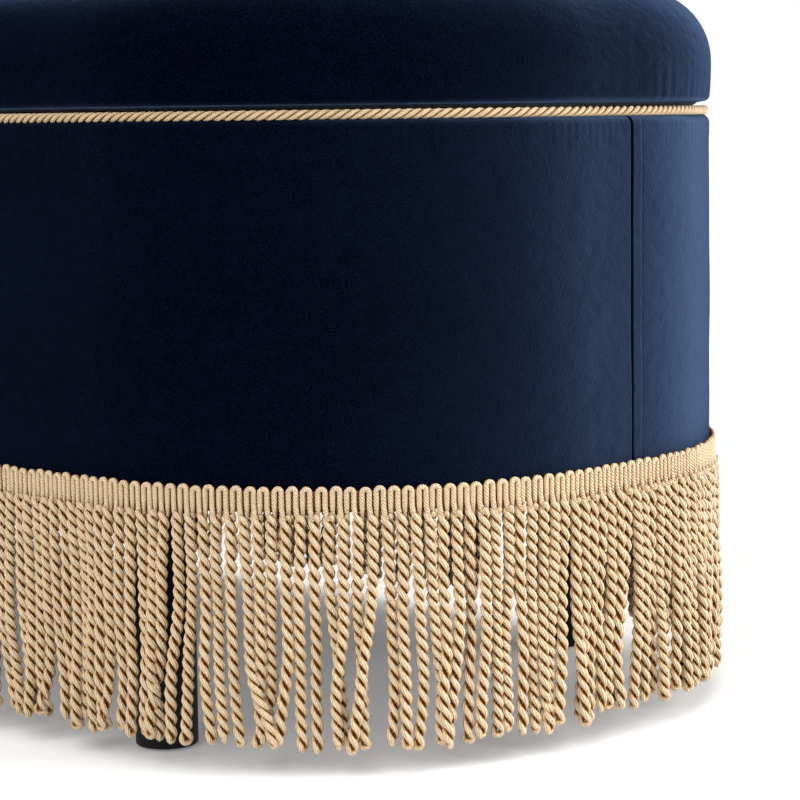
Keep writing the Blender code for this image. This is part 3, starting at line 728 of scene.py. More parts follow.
class BENCH_OT_feet(bpy.types.Operator):
    """Turn the round feet and their glides"""

    bl_idname = "bench.feet"
    bl_label = "Feet"

    # Upward share of a face's normal from which the face counts as level
    LEVEL = 0.99

    facets: number("Facets", 64, 16, "Sides of the turned feet")
    edge: size("Edge", 0.0015, "Rounding of the edges")
    floor_gap: size("Floor Gap", 0.0012, "Height of the foot's rim above the floor, round the glide")
    stud_radius: size("Stud Radius", 0.004, "Radius of the stud that screws into the block")
    stud_length: size("Stud Length", 0.017, "Length of the stud")

    def turned(self, name, low, high, rounded):
        """A round block, with its lower and upper edge rounded or not."""
        centre, depth, radius = (low + high) / 2, high.z - low.z, (high.x - low.x) / 2
        add = bpy.ops.mesh.primitive_cylinder_add
        piece = primitive(name, add, vertices=self.facets, radius=radius, depth=depth, location=centre)
        bpy.ops.object.transform_apply(location=True)
        bpy.ops.object.mode_set(mode="EDIT")
        form = bmesh.from_edit_mesh(piece.data)
        for edge in form.edges:
            first, second = (vert.co.z for vert in edge.verts)
            level = abs(first - second) < depth / 2
            upper = first > centre.z
            edge.select_set(level and rounded[upper])
        bmesh.update_edit_mesh(piece.data)
        bpy.ops.mesh.bevel(offset=min(self.edge, depth / 3), segments=3)
        bpy.ops.object.mode_set(mode="OBJECT")
        return piece

    def add_stud(self, piece, top):
        """Draws the stud up from the middle of the top face."""
        bpy.ops.object.mode_set(mode="EDIT")
        form = bmesh.from_edit_mesh(piece.data)
        for face in form.faces:
            high = face.calc_center_median().z > top - self.edge / 4
            face.select_set(face.normal.z > self.LEVEL and high)
        bmesh.update_edit_mesh(piece.data)
        reach = piece.dimensions.x / 2 - self.edge
        bpy.ops.mesh.inset(thickness=reach - self.stud_radius)
        bpy.ops.mesh.extrude_region_move(TRANSFORM_OT_translate={"value": (0, 0, self.stud_length)})
        bpy.ops.object.mode_set(mode="OBJECT")

    def execute(self, context):
        colours = context.scene.bench_colours
        black = hard_material(
            "foot_paint", colours.paint, scale=90, rough=(0.45, 0.6), worn=1.6, specular_ior_level=0.12
        )
        plastic = hard_material("glide_plastic", colours.glide, scale=250, rough=(0.45, 0.6))
        for corner in CORNERS:
            foot_node, glide_node = "foot_" + corner, "glide_" + corner
            low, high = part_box(foot_node)
            low.z, high.z = self.floor_gap, high.z - self.stud_length
            foot = self.turned("turned_" + foot_node, low, high, (True, True))
            self.add_stud(foot, high.z)
            glide = self.turned("floor_" + glide_node, *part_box(glide_node), (True, False))
            for piece in (foot, glide):
                smooth(piece, degrees=35)
            dress(foot, black, "body", "black_foot", foot_node)
            dress(glide, plastic, "body", "glide_plastic", glide_node)
        return {"FINISHED"}


class BENCH_OT_body_covers(bpy.types.Operator):
    """Lay the front and back velvet round the box, with a lapped seam at each end"""

    bl_idname = "bench.body_covers"
    bl_label = "Body Covers"

    # Rounding of the lower edge
    FOLD = 0.003

    column: size("Column", 0.002, "Spacing of the mesh round the bench")
    fine_column: size("Fine Column", 0.0004, "Spacing of the mesh at the seams")
    fine_reach: size("Fine Reach", 0.014, "How far the fine mesh runs from a seam")
    uneven: size("Unevenness", 0.0003, "Depth of the broad waves in the padding")
    groove: size("Groove", 0.0024, "Depth of the seam's groove")
    groove_width: size("Groove Width", 0.0012, "Width of the rolled edge of a panel")
    lap: size("Lap", 0.00003, "Rise of the lapped panel between the seam and its stitching")
    lap_slope: size("Lap Slope", 0.002, "Distance over which that rise ends at the stitching")
    stitch_dip: size("Stitch Dip", 0.00012, "Depth of the line that the stitching draws in")
    stitch_width: size("Stitch Width", 0.0009, "Width of that line")
    pucker: size("Pucker", 0.00018, "Depth of the puckers under the rope")
    pucker_pitch: size("Pucker Pitch", 0.0062, "Spacing of the puckers")
    pucker_drop: size("Pucker Drop", 0.006, "Distance of the puckers below the upper edge")
    pucker_height: size("Pucker Height", 0.003, "Height of the puckers, up and down from their middle")
    pucker_swell: size("Pucker Swell", 0.11, "Distance over which the puckers come and go")

    def profile(self, body):
        """(inset, height) points from under the wall, up its face and over its top."""
        edge, bottom, top, fold = body.edge_radius, body.bottom, body.top, self.FOLD
        rise = arc(fold, bottom + fold, fold, -math.pi / 2, 0, 4)
        round_top = arc(edge, top - edge, edge, 0, math.pi / 2, 8)
        return [
            (body.turn_under, bottom),
            *run((body.turn_under, bottom), rise[0], 3),
            *rise[1:],
            *run(rise[-1], (0, round_top[0][1]), 16),
            *round_top[1:],
            *run(round_top[-1], (body.turn_in, top), 3),
        ]

    def stations(self, start, end):
        """Distances from one seam to the other, close together at the seams."""
        reach = self.fine_reach
        fine = np.linspace(0, reach, round(reach / self.fine_column) + 1)
        count = round((end - start - 2 * reach) / self.column)
        middle = np.linspace(start + reach, end - reach, count + 1)
        return np.concatenate([start + fine[:-1], middle, end - fine[::-1][1:]])

    def shape(self, outline, body, start, end, lapped, seed):
        """The panel's unevenness, rolled edges, lapped seam and puckers."""
        uneven = ripples(outline, seed, waves=7, shortest=0.09, longest=0.3, depth=self.uneven)
        dice = np.random.default_rng(seed)
        pucker_phase, swell_phase = dice.uniform(0, 2 * math.pi, 2)

        def shape(distance, inset, z):
            from_seam = np.minimum(distance - start, end - distance)
            roll = np.clip(1 - from_seam / self.groove_width, 0, 1)
            out = uneven(distance, inset, z) - self.groove * roll**2
            if lapped:
                from_stitch = from_seam - body.stitch_line
                out += self.lap * np.clip(-from_stitch / self.lap_slope, 0, 1)
                out -= self.stitch_dip * np.exp(-((from_stitch / self.stitch_width) ** 2))
            wave = np.sin(2 * math.pi * distance / self.pucker_pitch + pucker_phase)
            swell = 0.5 + 0.5 * np.sin(2 * math.pi * distance / self.pucker_swell + swell_phase)
            band = np.exp(-(((z - body.top + self.pucker_drop) / self.pucker_height) ** 2))
            return inset - out - self.pucker * wave * swell * band, z

        return shape

    def execute(self, context):
        body = context.scene.bench_body
        outline = Outline(body)
        half, seam = outline.perimeter / 2, body.seam_behind
        velvet = velvet_material("body_velvet", sheen=0.46, spread=0.4, nap=(0.25, 0, 0), space="UV")
        panels = {
            "front": (half - seam, outline.perimeter + seam, False),
            "back": (seam, half - seam, True),
        }
        profile = self.profile(body)
        for seed, (side, (start, end, lapped)) in enumerate(panels.items(), 3):
            distances = self.stations(start, end)
            shape = self.shape(outline, body, start, end, lapped, seed)
            panel = laid_sheet("velvet_panel_" + side, outline, distances, profile, shape)
            apply_modifier(panel, "SOLIDIFY", thickness=body.cloth, offset=-1)
            dress(panel, velvet, "body", "navy_velvet", "velvet_" + side)
        return {"FINISHED"}


class BENCH_OT_seam_stitches(bpy.types.Operator):
    """Sew the topstitching beside each end seam"""

    bl_idname = "bench.seam_stitches"
    bl_label = "Seam Stitches"

    # Thickness along one stitch, as a share of the thread's
    TAPER = (0.4, 0.9, 1, 1, 0.9, 0.4)

    stitch: size("Stitch", 0.0032, "Length of one stitch")
    gap: size("Gap", 0.0009, "Gap between stitches")
    thread: size("Thread", 0.00055, "Thickness of the thread")
    sides: number("Sides", 6, 4, "Sides of the thread")
    sink: size("Sink", 0.0004, "Depth of a stitch's middle in the velvet")
    dive: size("Dive", 0.0006, "How much deeper its ends lie")

    def thread_material(self, context):
        """Twisted thread, a little lighter than the velvet."""
        velvet = opaque(context.scene.bench_colours.velvet, 2.5)
        material, tree, shader = new_material("seam_thread", roughness=0.6, base_color=velvet)
        sources = {"UV": uv_map(tree), "Yarns": 2.0, "Turns": 900.0}
        yarn = place_group(tree, "Wound Yarn", yarn_group, sources)
        bump(tree, shader, yarn["Ridge"], 0.0001)
        return material

    def execute(self, context):
        body, trim = context.scene.bench_body, context.scene.bench_trim
        outline = Outline(body)
        material = self.thread_material(context)
        low, high = trim.header_top, body.top - body.edge_radius
        count = int((high - low) / (self.stitch + self.gap))
        z = low + (np.arange(count)[:, None] + 0.5) * (self.stitch + self.gap)
        share = np.linspace(-0.5, 0.5, len(self.TAPER))
        heights = z + share * self.stitch
        sink = self.sink + self.dive * (2 * share) ** 4
        radius = self.thread / 2 * np.array(self.TAPER)
        reach = body.seam_behind + body.stitch_line
        for side, distance in {"right": reach, "left": outline.perimeter / 2 - reach}.items():
            paths = outline.points(distance, np.broadcast_to(sink, heights.shape), heights)
            spokes = np.broadcast_to(outline.axes(np.array(distance))[1], paths.shape)
            stitches = tube_mesh("seam_stitches_" + side, paths, spokes, radius, self.sides)
            dress(stitches, material, "body", "navy_velvet")
        return {"FINISHED"}


class BENCH_OT_rope(bpy.types.Operator):
    """Lay the twisted rope on the body's top edge, in two lengths that stop at the hinges"""

    bl_idname = "bench.rope"
    bl_label = "Rope Trim"

    # Thickness of a ply as a share of its room in the rope, and the share of it that is left at the ends
    PLY_SHARE = 0.98
    END_SHARE = 0.25

    hinge_gap: size("Hinge Gap", 0.004, "Gap between the rope's ends and a hinge")
    settle: size("Settle", 0.0007, "How far the rope sinks into the velvet")
    stray: size("Stray", 0.0005, "How far the rope strays from its line")
    step: size("Step", 0.0018, "Spacing of the mesh along the rope")
    plies: number("Plies", 3, 2, "Plies of the rope")
    sides: number("Sides", 9, 6, "Sides of each ply")

    def execute(self, context):
        body, trim = context.scene.bench_body, context.scene.bench_trim
        outline = Outline(body)
        inset = (body.width - (ROPE_HIGH.y - ROPE_LOW.y)) / 2 + (ROPE_HIGH.z - ROPE_LOW.z) / 2
        height = (ROPE_LOW.z + ROPE_HIGH.z) / 2 - self.settle
        hinge_low, hinge_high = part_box("hinge_base_leaf_right")
        near, far = hinge_low.x - self.hinge_gap, hinge_high.x + self.hinge_gap
        middle = outline.end_half + outline.along
        lengths = {
            "rope_trim": (middle + far, middle - far + outline.perimeter),
            "rope_trim_back": (middle - near, middle + near),
        }
        ply = trim.rope / (2 + 2 / math.sin(math.pi / self.plies)) * self.PLY_SHARE
        cord = cord_material("rope_cord", yarns=7.0, turns=40.0, fold_shade_start=0.4, fold_shade_end=0.68)
        for name, (start, end) in lengths.items():
            count = round((end - start) / self.step) + 1
            distance = np.linspace(start, end, count)
            out, up = outline.axes(distance)[1:]
            sway = np.sin(distance * 41) + 0.8 * np.sin(distance * 97 + 1)
            line = outline.points(distance, inset + self.stray * sway, height)
            from_end = np.minimum(distance - start, end - distance)
            close = np.clip(from_end / (2 * ply) + self.END_SHARE, 0, 1)
            lay = trim.rope_lay * (1 + 0.06 * np.sin(distance * 23))
            turn = 2 * math.pi * np.cumsum(self.step / lay)
            turns = turn + 2 * math.pi / self.plies * np.arange(self.plies)[:, None]
            spokes = out * np.cos(turns)[..., None] + up * np.sin(turns)[..., None]
            paths = line + spokes * ((trim.rope / 2 - ply) * close)[:, None]
            rope = tube_mesh("twisted_" + name, paths, spokes, ply * close, self.sides)
            dress(rope, cord, "body", "gold_cord", name)
        return {"FINISHED"}


def fringe_runs(outline):
    """Name, first and last distance of each length of fringe, in order round the bench."""
    half, end = outline.perimeter / 2, outline.end_half
    third = 2 * end / 3
    runs = []
    for turned, round_end, side in ((0, "right", "back"), (half, "left", "front")):
        marks = [turned - end + third * k for k in range(4)]
        runs += [(f"{round_end}_{k + 1}", marks[k], marks[k + 1]) for k in range(3)]
        runs.append((side, turned + end, turned + half - end))
    return runs


def loop_places(trim, start, end):
    """Distances of the loops and strands on a length of fringe."""
    count = round((end - start) / trim.loop_pitch)
    return start + (end - start) * (np.arange(count) + 0.5) / count


class BENCH_OT_gimp_header(bpy.types.Operator):
    """Braid the header of the fringe: a row of looped cords on a woven tape"""

    bl_idname = "bench.gimp_header"
    bl_label = "Gimp Header"

    # How far a loop may stand below and above the others
    LIFT_LIMITS = (-0.0006, 0.0005)

    sides: number("Sides", 6, 4, "Sides of the looped cord")
    tape: size("Tape", 0.0006, "Thickness of the woven tape")
    tape_gap: size("Tape Gap", 0.0002, "Gap between the tape and the velvet")
    tape_rise: size("Tape Rise", 0.002, "Height of the tape's lower edge above the header's")
    # Painted shade: the tape's fixed fold depth colours it warm and brown, for the shade behind the loops
    tape_shade: FloatProperty(name="Tape Shade", default=0.68, description="Depth of the tape in folds")
    tail: size("Tail", 0.0032, "How far each left leg runs below the header's lower edge")
    jitter: size("Jitter", 0.00022, "Unevenness of the loops' heights")

    def loop(self, trim):
        """One loop's steps aside, up and outwards, and its share of the cord's thickness.

        It runs up the left leg, round the arch and down the right leg into its strand.
        """
        cord = trim.loop_cord
        half = (cord + trim.loop_slit) / 2
        top = trim.header_top - cord / 2 - half
        foot = trim.header_bottom + cord / 4
        knee, hip = np.linspace(foot, top, 4)[1:3]
        lead = trim.loop_pitch / 2 - half
        turns = np.linspace(math.pi, 0, 7)
        points = [
            (-half, foot - self.tail, 0.1 * cord, 0.62),
            (-half, knee, 0, 0.94),
            (-half, hip, 0, 1),
            *((half * math.cos(turn), top + half * math.sin(turn), 0, 1) for turn in turns),
            (half, hip, 0, 1),
            (half, knee, 0, 1),
            (half + 0.25 * lead, foot, 0.15 * cord, 1),
            (half + lead, foot - 1.1 * cord, 0.5 * cord, 0.8),
        ]
        return np.array(points).T

    def tape_strip(self, name, outline, trim, start, end, count):
        """The woven tape behind a length of loops."""
        low, high = trim.header_bottom + self.tape_rise, trim.header_top - trim.loop_cord
        outer = -self.tape - self.tape_gap
        strip = [(outer, low), *run((outer, low), (outer, high), 4)]
        tape = laid_sheet(name, outline, np.linspace(start, end, 2 * count + 1), strip)
        # Painted shade: the whole tape takes the cords' fold shade
        set_groove(tape.data, np.full(len(tape.data.vertices), self.tape_shade))
        apply_modifier(tape, "SOLIDIFY", thickness=self.tape, offset=-1)
        return tape

    def execute(self, context):
        trim = context.scene.bench_trim
        outline = Outline(context.scene.bench_body)
        dice = np.random.default_rng(11)
        braid = cord_material("gimp_braid", yarns=5.0, turns=500.0, fold_shade_start=0.42, fold_shade_end=0.76)
        woven = cord_material("gimp_tape", yarns=0.0, turns=500.0, fold_shade_start=0.42, fold_shade_end=0.76)
        aside, rise, outwards, taper = self.loop(trim)
        reach = self.tape + trim.loop_cord / 2
        high_share = np.clip((rise - trim.header_bottom) / (trim.header_top - trim.header_bottom), 0, 1)
        for name, start, end in fringe_runs(outline):
            places = loop_places(trim, start, end)
            count = len(places)
            lift = np.clip(dice.normal(0, 2 * self.jitter, (count, 1)), *self.LIFT_LIMITS) * high_share
            swing = dice.normal(0, self.jitter, (count, 1))
            paths = outline.points(places[:, None] + aside + swing, -reach - outwards, rise + lift)
            spokes = np.broadcast_to(outline.axes(places)[1][:, None], paths.shape)
            loops = tube_mesh("gimp_loops_" + name, paths, spokes, trim.loop_cord / 2 * taper, self.sides)
            dress(loops, braid, "body", "gold_cord", "fringe_" + name)
            tape = self.tape_strip("gimp_tape_" + name, outline, trim, start, end, count)
            dress(tape, woven, "body", "gold_cord", "fringe_" + name)
        return {"FINISHED"}


def smooth_weights(samples, controls):
    """Weights that draw a smooth line from its control points, held at both ends."""
    place = np.linspace(0, controls - 1, samples)
    ladder = np.arange(-1, controls + 1)
    gap = abs(place[:, None] - ladder)
    weight = np.where(gap < 1, 2 / 3 - gap**2 + gap**3 / 2, np.clip(2 - gap, 0, 2) ** 3 / 6)
    inner = weight[:, 1:-1]
    inner[:, 0] += weight[:, 0]
    inner[:, -1] += weight[:, -1]
    return inner


class BENCH_OT_bullion(bpy.types.Operator):
    """Hang the bullion: two-ply twisted strands, each closed in a loop at its lower end"""

    bl_idname = "bench.bullion"
    bl_label = "Bullion Strands"

    # Share of the bunches that hold one, two, three and four strands, and how far they draw together
    BUNCH_SHARES = (0.25, 0.35, 0.28, 0.12)
    BUNCH_PULL = (0.1, 0.55)
    # Limits of the strands' outward wander, of their ends' unevenness, of their eyes and of their twist
    OUT_LIMITS = (-0.004, 0.0035)
    END_LIMITS = (-0.003, 0.0036)
    EYE_LIMITS = (0.0018, 0.0026)
    TWIST_LIMITS = (0.86, 1.2)
    # Share of the fold depth, and so of the painted fold shade, that is missing at the tip, and the rings
    # over which it comes back
    TIP_FOLD_SHADE = 0.35
    TIP_RINGS = 3
    # Thickness of a ply at its top, and distance of a strand's middle from the body, as shares of a ply
    TOP_SHARE = 0.6
    STAND_OFF = 0.7
    # Spread of the strands' twist, and of the turn of their tops and of their loops, in radians
    TWIST_SPREAD = 0.1
    TOP_SPREAD = 1.2
    LOOP_SPREAD = 0.55
    # Four times the share of its whole twist by which a strand is ahead in its middle
    TIGHTENING = 0.1

    sides: number("Sides", 6, 5, "Sides of each ply")
    rings: number("Rings", 72, 20, "Rings along a strand")
    levels: number("Levels", 9, 4, "Control points along a strand")
    rounds: number("Rounds", 80, 1, "Rounds of pushing neighbouring strands apart")
    lean: size("Lean", 0.0044, "How far whole stretches of the fringe lean")
    sway: size("Sway", 0.003, "How far single strands wander")
    spread: size("End Spread", 0.0019, "Unevenness of the lower ends")
    bunch_shift: size("Bunch Shift", 0.0012, "Unevenness of the places where bunches gather")
    clearance: size("Clearance", 0.0066, "Least distance between neighbouring strands")
    tuck: size("Tuck", 0.001, "How far the strands run up into the header")
    opening: size("Opening", 0.0065, "Height over which the plies part above the loop")

    def free_hang(self, outline, places, fall, dice):
        """Wander aside and outwards of each strand at each level, as if it hung alone."""
        count = len(places)
        level = np.zeros(count)
        grow = np.clip(fall * 1.6, 0, 1) ** 0.8
        phase = dice.uniform(0, 2 * math.pi, (4, count, 1))
        stretch = ripples(outline, seed=17, waves=6, shortest=0.07, longest=0.26, depth=self.lean)
        wave = np.sin(fall * 5.0 + phase[0]) + 0.6 * np.sin(fall * 11.0 + phase[1])
        single = dice.normal(0, 1, (count, 1)) * fall**1.5 + dice.normal(0, 0.9, (count, 1)) * fall**4
        leaning = stretch(places, level, level)[:, None] * fall**1.4
        aside = self.sway * grow * (0.45 * wave + single) + leaning
        outwards = self.sway * grow * (0.5 * np.sin(fall * 6.0 + phase[2]) + 0.8 * np.sin(phase[3]))
        return aside, outwards

    def draw_together(self, places, aside, fall, dice):
        """Gathers neighbouring strands in bunches of one to four."""
        count = len(places)
        sizes = dice.choice((1, 2, 3, 4), p=self.BUNCH_SHARES, size=count)
        bunch = np.repeat(np.arange(count), sizes)[:count]
        for which in range(bunch[-1] + 1):
            members = np.flatnonzero(bunch == which)
            middle = places[members].mean() + dice.normal(0, self.bunch_shift)
            pull = dice.uniform(*self.BUNCH_PULL)
            aside[members] += (middle - places[members])[:, None] * pull * fall

    def keep_apart(self, outline, across, outwards):
        """Pushes neighbouring strands apart, all the way down from their sewn tops."""
        for _ in range(self.rounds):
            for hop in (1, 2):
                following = np.roll(across, -hop, 0)
                following[-hop:] += outline.perimeter
                gap = following - across
                depth = np.roll(outwards, -hop, 0) - outwards
                apart = np.hypot(gap, depth) + 1e-9
                push = np.clip(self.clearance - apart, 0, None) / 4
                push[:, 0] = 0
                for place, part in ((across, gap), (outwards, depth)):
                    step = push * part / apart
                    place -= step
                    place += np.roll(step, hop, 0)

    def hang(self, outline, trim, places, dice):
        """Distance round the bench and outward wander of each strand at each level."""
        fall = np.linspace(0, 1, self.levels)
        aside, outwards = self.free_hang(outline, places, fall, dice)
        self.draw_together(places, aside, fall, dice)
        across = places[:, None] + trim.loop_pitch / 2 + aside
        self.keep_apart(outline, across, outwards)
        return across, np.clip(outwards, *self.OUT_LIMITS)

    def strands(self, outline, trim, across, outwards, dice):
        """Paths and spokes of the strands' plies: down one ply, round the loop and up the other."""
        count = len(across)
        weights = smooth_weights(self.rings, self.levels)
        share = np.linspace(0, 1, self.rings)
        ends = trim.strand_end + np.clip(dice.normal(0, self.spread, (count, 1)), *self.END_LIMITS)
        eye = dice.uniform(*self.EYE_LIMITS, (count, 1))
        top = trim.header_bottom + self.tuck
        bottom = ends + trim.ply / 2 + eye
        z = top + (bottom - top) * share
        inset = -(trim.ply * self.STAND_OFF + outwards @ weights.T)
        middle = outline.points(across @ weights.T, inset, z)
        along, out, up = outline.axes(across[:, 0])
        twist = np.clip(dice.normal(1, self.TWIST_SPREAD, (count, 1)), *self.TWIST_LIMITS)
        half_turns = np.rint(2 * (top - bottom) / trim.strand_turn * twist)
        start = math.pi + dice.normal(0, self.TOP_SPREAD, (count, 1))
        last = dice.normal(0, self.LOOP_SPREAD, (count, 1))
        tighten = self.TIGHTENING * share * (1 - share)
        turn = start - (half_turns * math.pi - last) * (share + tighten)
        spoke = along[:, None] * np.cos(turn)[..., None] + out[:, None] * np.sin(turn)[..., None]
        opened = (eye - trim.ply_offset) * np.clip(1 - (z - bottom) / self.opening, 0, 1) ** 2
        reach = (trim.ply_offset + opened)[..., None]
        arch = np.linspace(0, math.pi, 8)[1:-1]
        end = spoke[:, -1:]
        round_it = end * np.cos(arch)[:, None] - up[:, None] * np.sin(arch)[:, None]
        bend = middle[:, -1:] + round_it * reach[:, -1:]
        paths = np.concatenate([middle + spoke * reach, bend, (middle - spoke * reach)[:, ::-1]], 1)
        spokes = np.concatenate([spoke, round_it, -spoke[:, ::-1]], 1)
        return paths, spokes

    def execute(self, context):
        trim = context.scene.bench_trim
        outline = Outline(context.scene.bench_body)
        dice = np.random.default_rng(5)
        groups = {name: loop_places(trim, start, end) for name, start, end in fringe_runs(outline)}
        across, outwards = self.hang(outline, trim, np.concatenate(list(groups.values())), dice)
        paths, spokes = self.strands(outline, trim, across, outwards, dice)
        rings = paths.shape[1]
        radius = np.full(rings, trim.ply / 2)
        radius[[0, -1]] *= self.TOP_SHARE
        # The painted fold shade, faded near the tip of each loop
        from_tip = np.arange(rings) - (rings - 1) / 2
        fold = 1 - self.TIP_FOLD_SHADE * np.exp(-((from_tip / self.TIP_RINGS) ** 2))
        cord = cord_material("bullion_cord", yarns=7.0, turns=-420.0, fold_shade_start=0.47, fold_shade_end=0.69)
        first = 0
        for name, group in groups.items():
            part = slice(first, first + len(group))
            strands = tube_mesh("bullion_" + name, paths[part], spokes[part], radius, self.sides, fold)
            dress(strands, cord, "body", "gold_cord", "fringe_" + name)
            first += len(group)
        return {"FINISHED"}


class BENCH_OT_cushion(bpy.types.Operator):
    """Make the cushion lid: rounded sides, a low crown and the dips of its tufts"""

    bl_idname = "bench.cushion"
    bl_label = "Cushion Lid"

    # Points of the roll inside the lower edge: inset, and height above the roll's lowest line
    ROLL = ((0.019, 0.0011), (0.0155, 0.0), (0.012, 0.0004), (0.0095, 0.0017))
    # Shortest and longest gathers, and the number of waves that make them
    GATHERS = (0.008, 0.013)
    GATHER_WAVES = 6
    # Folds that run out from each button, and their share of its dip
    TUFT_FOLDS = 9
    FOLD_SHARE = 0.14

    step: size("Step", 0.003, "Spacing of the mesh round the cushion")
    uneven: size("Unevenness", 0.0004, "Depth of the broad waves in the padding")
    gather: size("Gather", 0.0005, "Depth of the gathers where the velvet is drawn round the back corners")
    gather_rise: size("Gather Rise", 0.022, "How far the gathers run up the side")
    gather_start: size("Gather Start", 0.06, "Distance over which gathers begin beside the back")
    gather_end: size("Gather End", 0.05, "Distance over which they end at the middle of an end")
    hinge_ease: size("Hinge Ease", 0.03, "Distance over which the roll ends at the straight back")
    sag: size("Sag", 0.0004, "How far the velvet sags between the roll and the lid board")

    def profile(self, lid):
        """(inset, height) points from the underside, round the roll and up the side to the shoulder."""
        foot, inset = lid.foot_radius, lid.shoulder - lid.bulge
        rise = arc(foot, lid.bottom + foot, foot, -math.pi / 2, 0, 7)
        start, low = rise[-1]
        high = lid.bottom + lid.bulge_height
        side = [
            ((1 - share) ** 2 * start - share * (2 - share) * lid.bulge, low + share * (high - low))
            for share in (k / 6 for k in range(1, 6))
        ]
        shoulder = arc(inset, high, lid.shoulder, 0, lid.shoulder_turn, 16)
        under = [(lid.turn_under, lid.underside), (0.8 * lid.turn_under, lid.underside - self.sag)]
        roll = [(place, lid.bottom - lid.roll + height) for place, height in self.ROLL]
        return [*under, *roll, *rise, *side, *shoulder]

    def stations(self, outline):
        """Distances round the cushion, even on each straight and each corner."""
        marks = outline.marks
        pieces = []
        for start, end in zip(marks, marks[1:]):
            count = max(2, 2 * round((end - start) / self.step / 2))
            pieces.append(np.linspace(start, end, count + 1)[:-1])
        return np.concatenate([*pieces, [marks[-1]]])

    def shape(self, outline, lid):
        """The padding's unevenness, the gathers on the back corners and the plain edge at the hinges."""
        uneven = ripples(outline, seed=21, waves=7, shortest=0.12, longest=0.4, depth=self.uneven)
        dice = np.random.default_rng(8)
        pitch = outline.whole(dice.uniform(*self.GATHERS, self.GATHER_WAVES))
        phase = dice.uniform(0, 2 * math.pi, self.GATHER_WAVES)
        half, back = outline.perimeter / 2, outline.end_half + outline.along

        def shape(distance, inset, z):
            turns = 2 * math.pi * distance[:, None] / pitch + phase
            folds = np.sin(turns).sum(1) / math.sqrt(self.GATHER_WAVES)
            from_end = half / 2 - abs(np.mod(distance, half) - half / 2)
            begun = np.clip((outline.end_half - from_end) / self.gather_start, 0, 1)
            ended = np.clip(from_end / self.gather_end, 0, 1)
            low = np.exp(-np.clip(z - lid.bottom, 0, None) / self.gather_rise)
            gathers = self.gather * folds * begun * ended * (distance < half) * low
            at_hinges = np.clip((outline.along - abs(distance - back)) / self.hinge_ease, 0, 1)
            lifted = np.maximum(z, lid.bottom) * at_hinges + z * (1 - at_hinges)
            return inset - uneven(distance, inset, z) - gathers, lifted

        return shape

    def close(self, cushion, outline, lid, columns):
        """Welds the lap of the grid, fills its top with a grid and its flat underside with one face."""
        middle = lid.bottom + lid.bulge_height
        corner = Vector((outline.along, -outline.across, 0))
        slant = Vector((1, -1, 0)).normalized()
        weld(cushion)
        select_rim(
            cushion, lambda place: place.z > middle, lambda place: (place - corner).normalized().dot(slant)
        )
        bpy.ops.mesh.fill_grid(span=columns)
        select_rim(cushion, lambda place: place.z < middle)
        bpy.ops.mesh.edge_face_add()
        face_outwards()

    def crown(self, outline, lid, edge, x, y):
        """Height of the top: a low crown that rises from the edge, with the tufts drawn into it."""
        edge_inset, edge_z = edge
        outward = outline.from_core(x, y) / (outline.radius - edge_inset)
        tufts = np.array([(low + high) / 2 for low, high in map(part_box, BUTTONS)])[:, :2]
        away_x, away_y = np.moveaxis(np.stack([x, y], -1)[:, None] - tufts, -1, 0)
        turns = self.TUFT_FOLDS * np.arctan2(away_y, away_x) + np.arange(len(tufts))
        folds = 1 + self.FOLD_SHARE * np.sin(turns)
        dips = np.exp(-((np.hypot(away_x, away_y) / lid.tuft_spread) ** 2) / 2 * folds)
        return edge_z + lid.crown * (1 - outward**2) - lid.tuft_depth * dips.max(1)

    def execute(self, context):
        lid = context.scene.bench_lid
        outline = Outline(context.scene.bench_body)
        velvet = velvet_material("lid_velvet", sheen=0.42, spread=0.36, nap=(0.16, 0.15, -0.12))
        distances = self.stations(outline)
        profile = self.profile(lid)
        cushion = laid_sheet("lid_cushion", outline, distances, profile, self.shape(outline, lid))
        end_steps = np.count_nonzero(distances < outline.end_half + SLACK) - 1
        flat_steps = np.count_nonzero(distances < outline.across - SLACK)
        self.close(cushion, outline, lid, 2 * (end_steps - (end_steps - flat_steps) // 2))
        points = points_of(cushion)
        x, y, z = points.T
        inside = outline.from_core(x, y) < outline.radius - profile[-1][0] - SLACK
        top = inside & (z > lid.bottom + lid.bulge_height)
        points[top, 2] = self.crown(outline, lid, profile[-1], x[top], y[top])
        set_points(cushion, points)
        smooth(cushion)
        dress(cushion, velvet, "lid", "navy_velvet", "lid_cover", "lid_foam")
        return {"FINISHED"}


class BENCH_OT_tuft_buttons(bpy.types.Operator):
    """Set a covered button in each tuft"""

    bl_idname = "bench.tuft_buttons"
    bl_label = "Tuft Buttons"

    # Height of a button's widest ring, the power that shapes its dome, and how far its foot is drawn in
    RIM_SHARE = 0.55
    DOME_POWER = 1.25
    FOOT_TUCK = 0.12

    segments: number("Segments", 40, 12, "Sides of a button")
    rings: number("Rings", 18, 6, "Rings of a button")

    def execute(self, context):
        velvet = velvet_material("button_velvet", sheen=0.42, spread=0.36, nap=(0, 0, 0))
        add = bpy.ops.mesh.primitive_uv_sphere_add
        for name in BUTTONS:
            low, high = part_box(name)
            piece_name = name.replace("tuft", "covered")
            button = primitive(piece_name, add, segments=self.segments, ring_count=self.rings, radius=1)
            points = points_of(button)
            centre, reach = (low + high) / 2, (high.x - low.x) / 2
            rim = low.z + self.RIM_SHARE * (high.z - low.z)
            up = points[:, 2]
            round_edge = np.sign(up) * abs(up) ** self.DOME_POWER
            height = np.where(up > 0, round_edge * (high.z - rim), round_edge * (rim - low.z))
            swell = (1 - self.FOOT_TUCK * np.clip(-up, 0, 1))[:, None]
            flat = points[:, :2] * reach * swell
            set_points(button, np.column_stack([flat + np.array(centre)[:2], rim + height]))
            smooth(button)
            dress(button, velvet, "lid", "navy_velvet", name)
        return {"FINISHED"}


